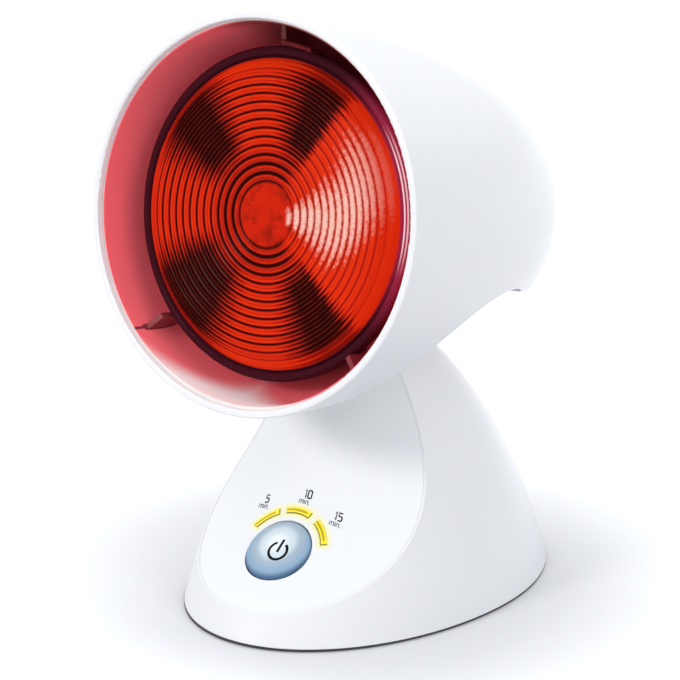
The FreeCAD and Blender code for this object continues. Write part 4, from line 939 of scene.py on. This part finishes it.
class LAMP_OT_lens(bpy.types.Operator):
    """Build the pressed front glass of the bulb with its concentric ridges"""
    bl_idname = "lamp.lens"
    bl_label = "Lens"

    def execute(self, context):
        sizes = context.scene.lamp_sizes
        face = BULB_RECESS - sizes.face_lift
        middle = face + sizes.dish
        points = []
        for i in range(LENS_SAMPLES + 1):
            radius = LENS_EDGE_R * i / LENS_SAMPLES
            past = radius - DISC_R
            dished = sizes.dish * (1 - min(max(past / DISH_SPAN, 0), 1))
            turned = max((radius - SHOULDER_R) / (LENS_EDGE_R - SHOULDER_R), 0)
            depth = face + dished + sizes.face_lift * turned ** 2
            if past < 0:
                depth += min(-past / DISC_STEP, 1) * (DISC_FALL * (radius / DISC_R) ** 2 - DISC_HEIGHT)
            elif past < RINGED_R - DISC_R:
                count = past * (1 / RING_PITCH + RING_CLOSING * past)
                depth -= sizes.ridge_height * abs(math.sin(math.pi * count))
            points.append((radius, depth, 0))
        for i in range(1, RIM_STEPS + 1):
            along, forward = circle(1.0, math.pi * i / RIM_STEPS)
            points.append(((LENS_EDGE_R + BULB_R) / 2 - RING_WIDTH / 2 * along,
                           BULB_RECESS + RIM_BACK - RIM_ROUND * forward, 0))
        rear = BULB_RECESS + RING_DEPTH
        points += [(BULB_R, rear, 0), (BULB_R - RIM_WALL, rear, 0),
                   (LENS_EDGE_R, BULB_RECESS + LENS_THICKNESS, 0), (SHOULDER_R, face + LENS_THICKNESS, 0),
                   (DISC_R, middle + LENS_THICKNESS, 0), (0, middle + LENS_THICKNESS, 0)]
        form = spun(points, (0, 1, 0), sizes.turns)
        new_piece("lens", form, HEAD, "head", ruby_lens_glass(), ("bulb_lens",), sharp=60.0)
        return {"FINISHED"}


class LAMP_OT_bulb(bpy.types.Operator):
    """Dress the bulb behind its lens"""
    bl_idname = "lamp.bulb"
    bl_label = "Bulb"

    def execute(self, context):
        dress(mirrored_glass(), "bulb_reflector")
        dress(tungsten_wire(), "filament")
        dress(nickel_cap(), "bulb_cap")
        dress(black_vitrite(), "cap_insulator")
        dress(bare_brass(), "tip_contact")
        return {"FINISHED"}


class LAMP_OT_bulb_clip(bpy.types.Operator):
    """Build the small spring clip over the bulb's rim beside the top fin"""
    bl_idname = "lamp.bulb_clip"
    bl_label = "Bulb Clip"

    def execute(self, context):
        corners = []
        for radius, depth in CLIP_SECTION:
            x, z = circle(radius, math.radians(CLIP_ANGLE))
            corners.append((x, depth, z))
        form = swept(corners, (0, -1, 0), math.radians(CLIP_SPAN), CLIP_STEPS)
        new_piece("bulb_clip", form, HEAD, "head", spring_clip_steel())
        return {"FINISHED"}


class LAMP_OT_holder(bpy.types.Operator):
    """Dress the lamp holder, its strap, the bulkhead, the hinge's steel and all screws"""
    bl_idname = "lamp.holder"
    bl_label = "Lamp Holder"

    def execute(self, context):
        dress(glazed_porcelain(), "lamp_holder")
        dress(bare_brass(), "holder_sleeve", "holder_contact")
        dress(grey_nylon(), "head_frame")
        dress(zinc_plated_steel(), "holder_bracket", "bracket_screws", "frame_screws", "hinge_axle",
              "detent_spring", "detent_screw", "base_screws", "control_board_screws", "power_board_screws")
        return {"FINISHED"}


# ------------------------------------------------------------------------------- base
class LAMP_OT_panel(bpy.types.Operator):
    """Dress the control panel"""
    bl_idname = "lamp.panel"
    bl_label = "Control Panel"

    def execute(self, context):
        dress(satin_panel_abs(), "front_panel")
        return {"FINISHED"}


class LAMP_OT_button(bpy.types.Operator):
    """Build the domed push button"""
    bl_idname = "lamp.button"
    bl_label = "Button"

    def execute(self, context):
        sizes = context.scene.lamp_sizes
        edge = sizes.button_proud
        points = []
        for i in range(DOME_STEPS + 1):
            radius = BUTTON_SHOULDER_R * i / DOME_STEPS
            points.append((radius, 0, dome_height(sizes, radius)))
        for i in range(1, ROUND_STEPS + 1):
            back, out = circle(BUTTON_ROUND, math.pi / 2 * i / ROUND_STEPS)
            points.append((BUTTON_SHOULDER_R + out, 0, edge - BUTTON_ROUND + back))
        points += [(BUTTON_R, 0, FLANGE_FRONT), (FLANGE_R, 0, FLANGE_FRONT), (FLANGE_R, 0, FLANGE_REAR),
                   (BUTTON_INSIDE_R, 0, FLANGE_REAR), (BUTTON_INSIDE_R, 0, edge - BUTTON_SKIN),
                   (STEM_R, 0, edge + STEM_FRONT), (STEM_R, 0, STEM_REAR), (0, 0, STEM_REAR)]
        form = spun(points, (0, 0, 1), BUTTON_STEPS)
        new_piece("button", form, PANEL, "button", satin_button_paint(),
                  ("power_button",), sharp=40.0)
        return {"FINISHED"}


class LAMP_OT_symbol(bpy.types.Operator):
    """Print the power symbol on the button"""
    bl_idname = "lamp.symbol"
    bl_label = "Power Symbol"

    def execute(self, context):
        sizes = context.scene.lamp_sizes
        ring = []
        for i in range(SYMBOL_STEPS + 1):
            turn = 90 + SYMBOL_GAP / 2 + (360 - SYMBOL_GAP) * i / SYMBOL_STEPS
            ring.append(circle(sizes.symbol_radius, math.radians(turn)))
        low, high = SYMBOL_BAR
        bar = [(0, low + (high - low) * i / BAR_STEPS) for i in range(BAR_STEPS + 1)]
        form = bmesh.new()
        for points in (ring, bar):
            form.from_mesh(stroke_along(points, sizes.symbol_weight / 2, SYMBOL_THICKNESS))
        for vert in form.verts:
            vert.co += SYMBOL_PLACE
            vert.co.z += dome_height(sizes, vert.co.xy.length) + SYMBOL_LIFT
        new_piece("power_symbol", form, PANEL, "button", printing_ink())
        return {"FINISHED"}


class LAMP_OT_windows(bpy.types.Operator):
    """Build the three timer windows"""
    bl_idname = "lamp.windows"
    bl_label = "Timer Windows"

    def execute(self, context):
        half = math.radians(LIGHT_SPAN / 2) - LIGHT_GAP / LIGHT_MIDDLE_R
        inner = LIGHT_INNER_R + LIGHT_GAP
        outer = LIGHT_OUTER_R - LIGHT_GAP
        section = ((inner, LIGHT_REAR), (outer, LIGHT_REAR), (outer, LIGHT_PROUD), (inner, LIGHT_PROUD))
        form = bmesh.new()
        for angle in LIGHT_ANGLES:
            first = math.radians(angle) - half
            corners = [(*circle(radius, first), z) for radius, z in section]
            part = swept(corners, (0, 0, 1), 2 * half, LIGHT_STEPS)
            bmesh.ops.remove_doubles(part, verts=part.verts, dist=MERGE)
            bmesh.ops.recalc_face_normals(part, faces=part.faces)
            rims = [edge for edge in part.edges if all(vert.co.z > 0 for vert in edge.verts)
                    and edge.calc_face_angle(0) > math.radians(60)]
            bmesh.ops.bevel(part, geom=rims, offset=LIGHT_BEVEL, affect="EDGES", segments=3, profile=0.5,
                            material=-1)
            form.from_mesh(mesh_of(part, "window"))
        settle_on_panel(form, 0.0)
        new_piece("timer_windows", form, PANEL, "base", lit_window(), ("light_guides",))
        return {"FINISHED"}


class LAMP_OT_print(bpy.types.Operator):
    """Print the timer's minutes beside the windows"""
    bl_idname = "lamp.print"
    bl_label = "Timer Print"

    # Width and strokes of each sign, in shares of its height
    SIGNS = {
        "0": (0.52, (((0.0, 0.12), (0.0, 0.88), (0.1, 1.0), (0.42, 1.0), (0.52, 0.88), (0.52, 0.12),
                      (0.42, 0.0), (0.1, 0.0), (0.0, 0.12)),)),
        "1": (0.16, (((0.0, 0.86), (0.16, 1.0), (0.16, 0.0)),)),
        "5": (0.5, (((0.5, 1.0), (0.04, 1.0), (0.02, 0.56), (0.4, 0.56), (0.5, 0.46), (0.5, 0.12),
                     (0.4, 0.0), (0.0, 0.0)),)),
        "m": (1.3, (((0.0, 0.0), (0.0, 1.0), (1.18, 1.0), (1.3, 0.88), (1.3, 0.0)),
                    ((0.65, 1.0), (0.65, 0.0)))),
        "i": (0.0, (((0.0, 0.0), (0.0, 1.0)), ((0.0, 1.36), (0.0, 1.5)))),
        "n": (0.68, (((0.0, 0.0), (0.0, 1.0), (0.56, 1.0), (0.68, 0.88), (0.68, 0.0)),)),
        ".": (0.0, (((0.0, 0.0), (0.0, 0.12)),)),
    }
    # Height, gap and weight, in shares of a digit's height, of the sign's height and of the print's weight
    DIGITS = (1.0, 0.3, 1.0)
    UNITS = (0.46, 0.42, 0.58)
    # Text, size, and middle of its line on the panel
    WORDS = (("5", DIGITS, -17.2, 20.2), ("10", DIGITS, 0.3, 25.3), ("15", DIGITS, 16.4, 20.4),
             ("min.", UNITS, -17.3, 16.8), ("min.", UNITS, -0.1, 21.9), ("min.", UNITS, 16.3, 17.0))
    LEAN = -0.2   # the print leans back to the left by this share of its height

    def execute(self, context):
        sizes = context.scene.lamp_sizes
        form = bmesh.new()
        for word, (share, gap, weight), middle_x, middle_y in self.WORDS:
            height = sizes.digit_height * share
            width = sum(self.SIGNS[sign][0] + gap for sign in word) - gap
            x = middle_x - width * height / 2
            for sign in word:
                advance, strokes = self.SIGNS[sign]
                for stroke in strokes:
                    points = [(x + (across + self.LEAN * (up - 0.5)) * height, middle_y + (up - 0.5) * height)
                              for across, up in stroke]
                    form.from_mesh(stroke_along(points, sizes.print_weight / 2 * weight, PRINT_THICKNESS))
                x += (advance + gap) * height
        settle_on_panel(form, PRINT_LIFT)
        new_piece("timer_print", form, PANEL, "base", printing_ink())
        return {"FINISHED"}


class LAMP_OT_underside(bpy.types.Operator):
    """Dress the bottom plate, feet and cord bush"""
    bl_idname = "lamp.underside"
    bl_label = "Underside"

    def execute(self, context):
        dress(dark_textured_abs(), "base_plate")
        dress(black_rubber(), "rubber_feet", "cord_bush")
        return {"FINISHED"}


class LAMP_OT_electronics(bpy.types.Operator):
    """Dress the boards and their components"""
    bl_idname = "lamp.electronics"
    bl_label = "Electronics"

    def execute(self, context):
        dress(solder_masked_board(), "control_board", "power_board")
        dress(yellow_epoxy(), "indicator_leds")
        dress(blue_polyamide(), "relay", "terminal_block")
        dress(black_sleeving(), "capacitor", "tact_switch")
        dress(laminated_core(), "transformer")
        return {"FINISHED"}


# ------------------------------------------------------------------------------ stage
def matte_floor():
    # Matte pale grey board that glows white to the camera, and less so round the base, a painted shade
    # where its shadow lies
    material, tree, shader = finish("Matte White Floor", {"Base Color": bpy.context.scene.lamp_colours.floor,
                                                          "Roughness": 0.8, "Emission Color": "#FFFFFF"})
    far = add(tree, "VectorMath", (object_place(tree),), operation="LENGTH")
    # Painted shade: the glow is cut round the base
    far = add(tree, "MapRange", (far, *FLOOR_SHADOW, FLOOR_DARKEST, 1.0), **SMOOTH)
    glow = add(tree, "Math", (seen_directly(tree), far), operation="MULTIPLY")
    feed(tree, shader, {"Emission Strength": glow})
    return material


def studio_world():
    """A world that is white to look at, and lights as a pale blue sky that is brightest overhead."""
    world = bpy.data.worlds.new("Studio")
    world.use_nodes = True
    tree = world.node_tree
    seen = seen_directly(tree)
    way = add(tree, "SeparateXYZ", (add(tree, "TexCoord").outputs["Generated"],))
    sky = add(tree, "MapRange", (way.outputs["Z"], 0.0, 1.0, *SKY_LEVELS))
    level = add(tree, "MapRange", (seen, 0.0, 1.0, sky, 1.0))
    tint = add(tree, "Mix", (seen, SKY_BLUE, "#FFFFFF"), data_type="RGBA")
    feed(tree, tree.nodes["Background"], {"Strength": level, "Color": tint})
    return world


def looking(place, way):
    """The placement of a lamp or a camera that looks along a way."""
    return Matrix.Translation(place) @ way.to_track_quat("-Z", "Y").to_matrix().to_4x4()


class LAMP_OT_stage(bpy.types.Operator):
    """Set up the floor, the soft lamps, the world and the camera"""
    bl_idname = "lamp.stage"
    bl_label = "Stage"

    def execute(self, context):
        scene = context.scene
        scene.view_settings.view_transform = "Standard"
        scene.world = studio_world()
        form = bmesh.new()
        bmesh.ops.create_grid(form, x_segments=1, y_segments=1, size=FLOOR_SIZE)
        floor = bpy.data.objects.new("floor", mesh_of(form, "floor"))
        floor.data.materials.append(matte_floor())
        scene.collection.objects.link(floor)

        for name, place, width, watts in LAMPS:
            lamp = bpy.data.lights.new(name, "AREA")
            lamp.shape = "DISK"
            lamp.size = width
            lamp.energy = watts
            lamp.color = srgb(LAMP_WHITE)
            light = bpy.data.objects.new(name, lamp)
            light.matrix_world = looking(place, LAMP_TARGET - Vector(place))
            scene.collection.objects.link(light)

        level = math.cos(CAMERA_ELEVATION)
        way = Vector((-math.sin(CAMERA_AZIMUTH) * level, math.cos(CAMERA_AZIMUTH) * level,
                      -math.sin(CAMERA_ELEVATION)))
        across = Vector((math.cos(CAMERA_AZIMUTH), math.sin(CAMERA_AZIMUTH), 0))
        lens = bpy.data.cameras.new("camera")
        lens.lens = FOCAL_LENGTH
        lens.sensor_width = SENSOR_WIDTH
        lens.clip_end = 20.0
        camera = bpy.data.objects.new("camera", lens)
        camera.matrix_world = looking(CAMERA_TARGET - across * CAMERA_SHIFT - way * CAMERA_DISTANCE, way)
        scene.collection.objects.link(camera)
        scene.camera = camera
        return {"FINISHED"}


STEPS = (LAMP_OT_housing, LAMP_OT_guard, LAMP_OT_lens, LAMP_OT_bulb, LAMP_OT_bulb_clip, LAMP_OT_holder,
         LAMP_OT_panel, LAMP_OT_button, LAMP_OT_symbol, LAMP_OT_windows, LAMP_OT_print, LAMP_OT_underside,
         LAMP_OT_electronics, LAMP_OT_stage)


class LAMP_PT_lamp(bpy.types.Panel):
    """Buttons for each piece, with the sizes and colours they use"""
    bl_label = "Heat Lamp"
    bl_idname = "LAMP_PT_lamp"
    bl_space_type = "VIEW_3D"
    bl_region_type = "UI"
    bl_category = "Heat Lamp"

    def draw(self, context):
        layout = self.layout
        for step in STEPS:
            layout.operator(step.bl_idname)
        for group in (context.scene.lamp_sizes, context.scene.lamp_colours):
            for name in group.__annotations__:
                layout.prop(group, name)


CLASSES = (LampSizes, LampColours) + STEPS + (LAMP_PT_lamp,)


def register():
    for item in CLASSES:
        bpy.utils.register_class(item)
    bpy.types.Scene.lamp_sizes = PointerProperty(type=LampSizes)
    bpy.types.Scene.lamp_colours = PointerProperty(type=LampColours)


def unregister():
    del bpy.types.Scene.lamp_colours
    del bpy.types.Scene.lamp_sizes
    for item in reversed(CLASSES):
        bpy.utils.unregister_class(item)


def main():
    register()
    for step in STEPS:
        getattr(bpy.ops.lamp, step.bl_idname.split(".")[1])()


if __name__ == "__main__":
    main()
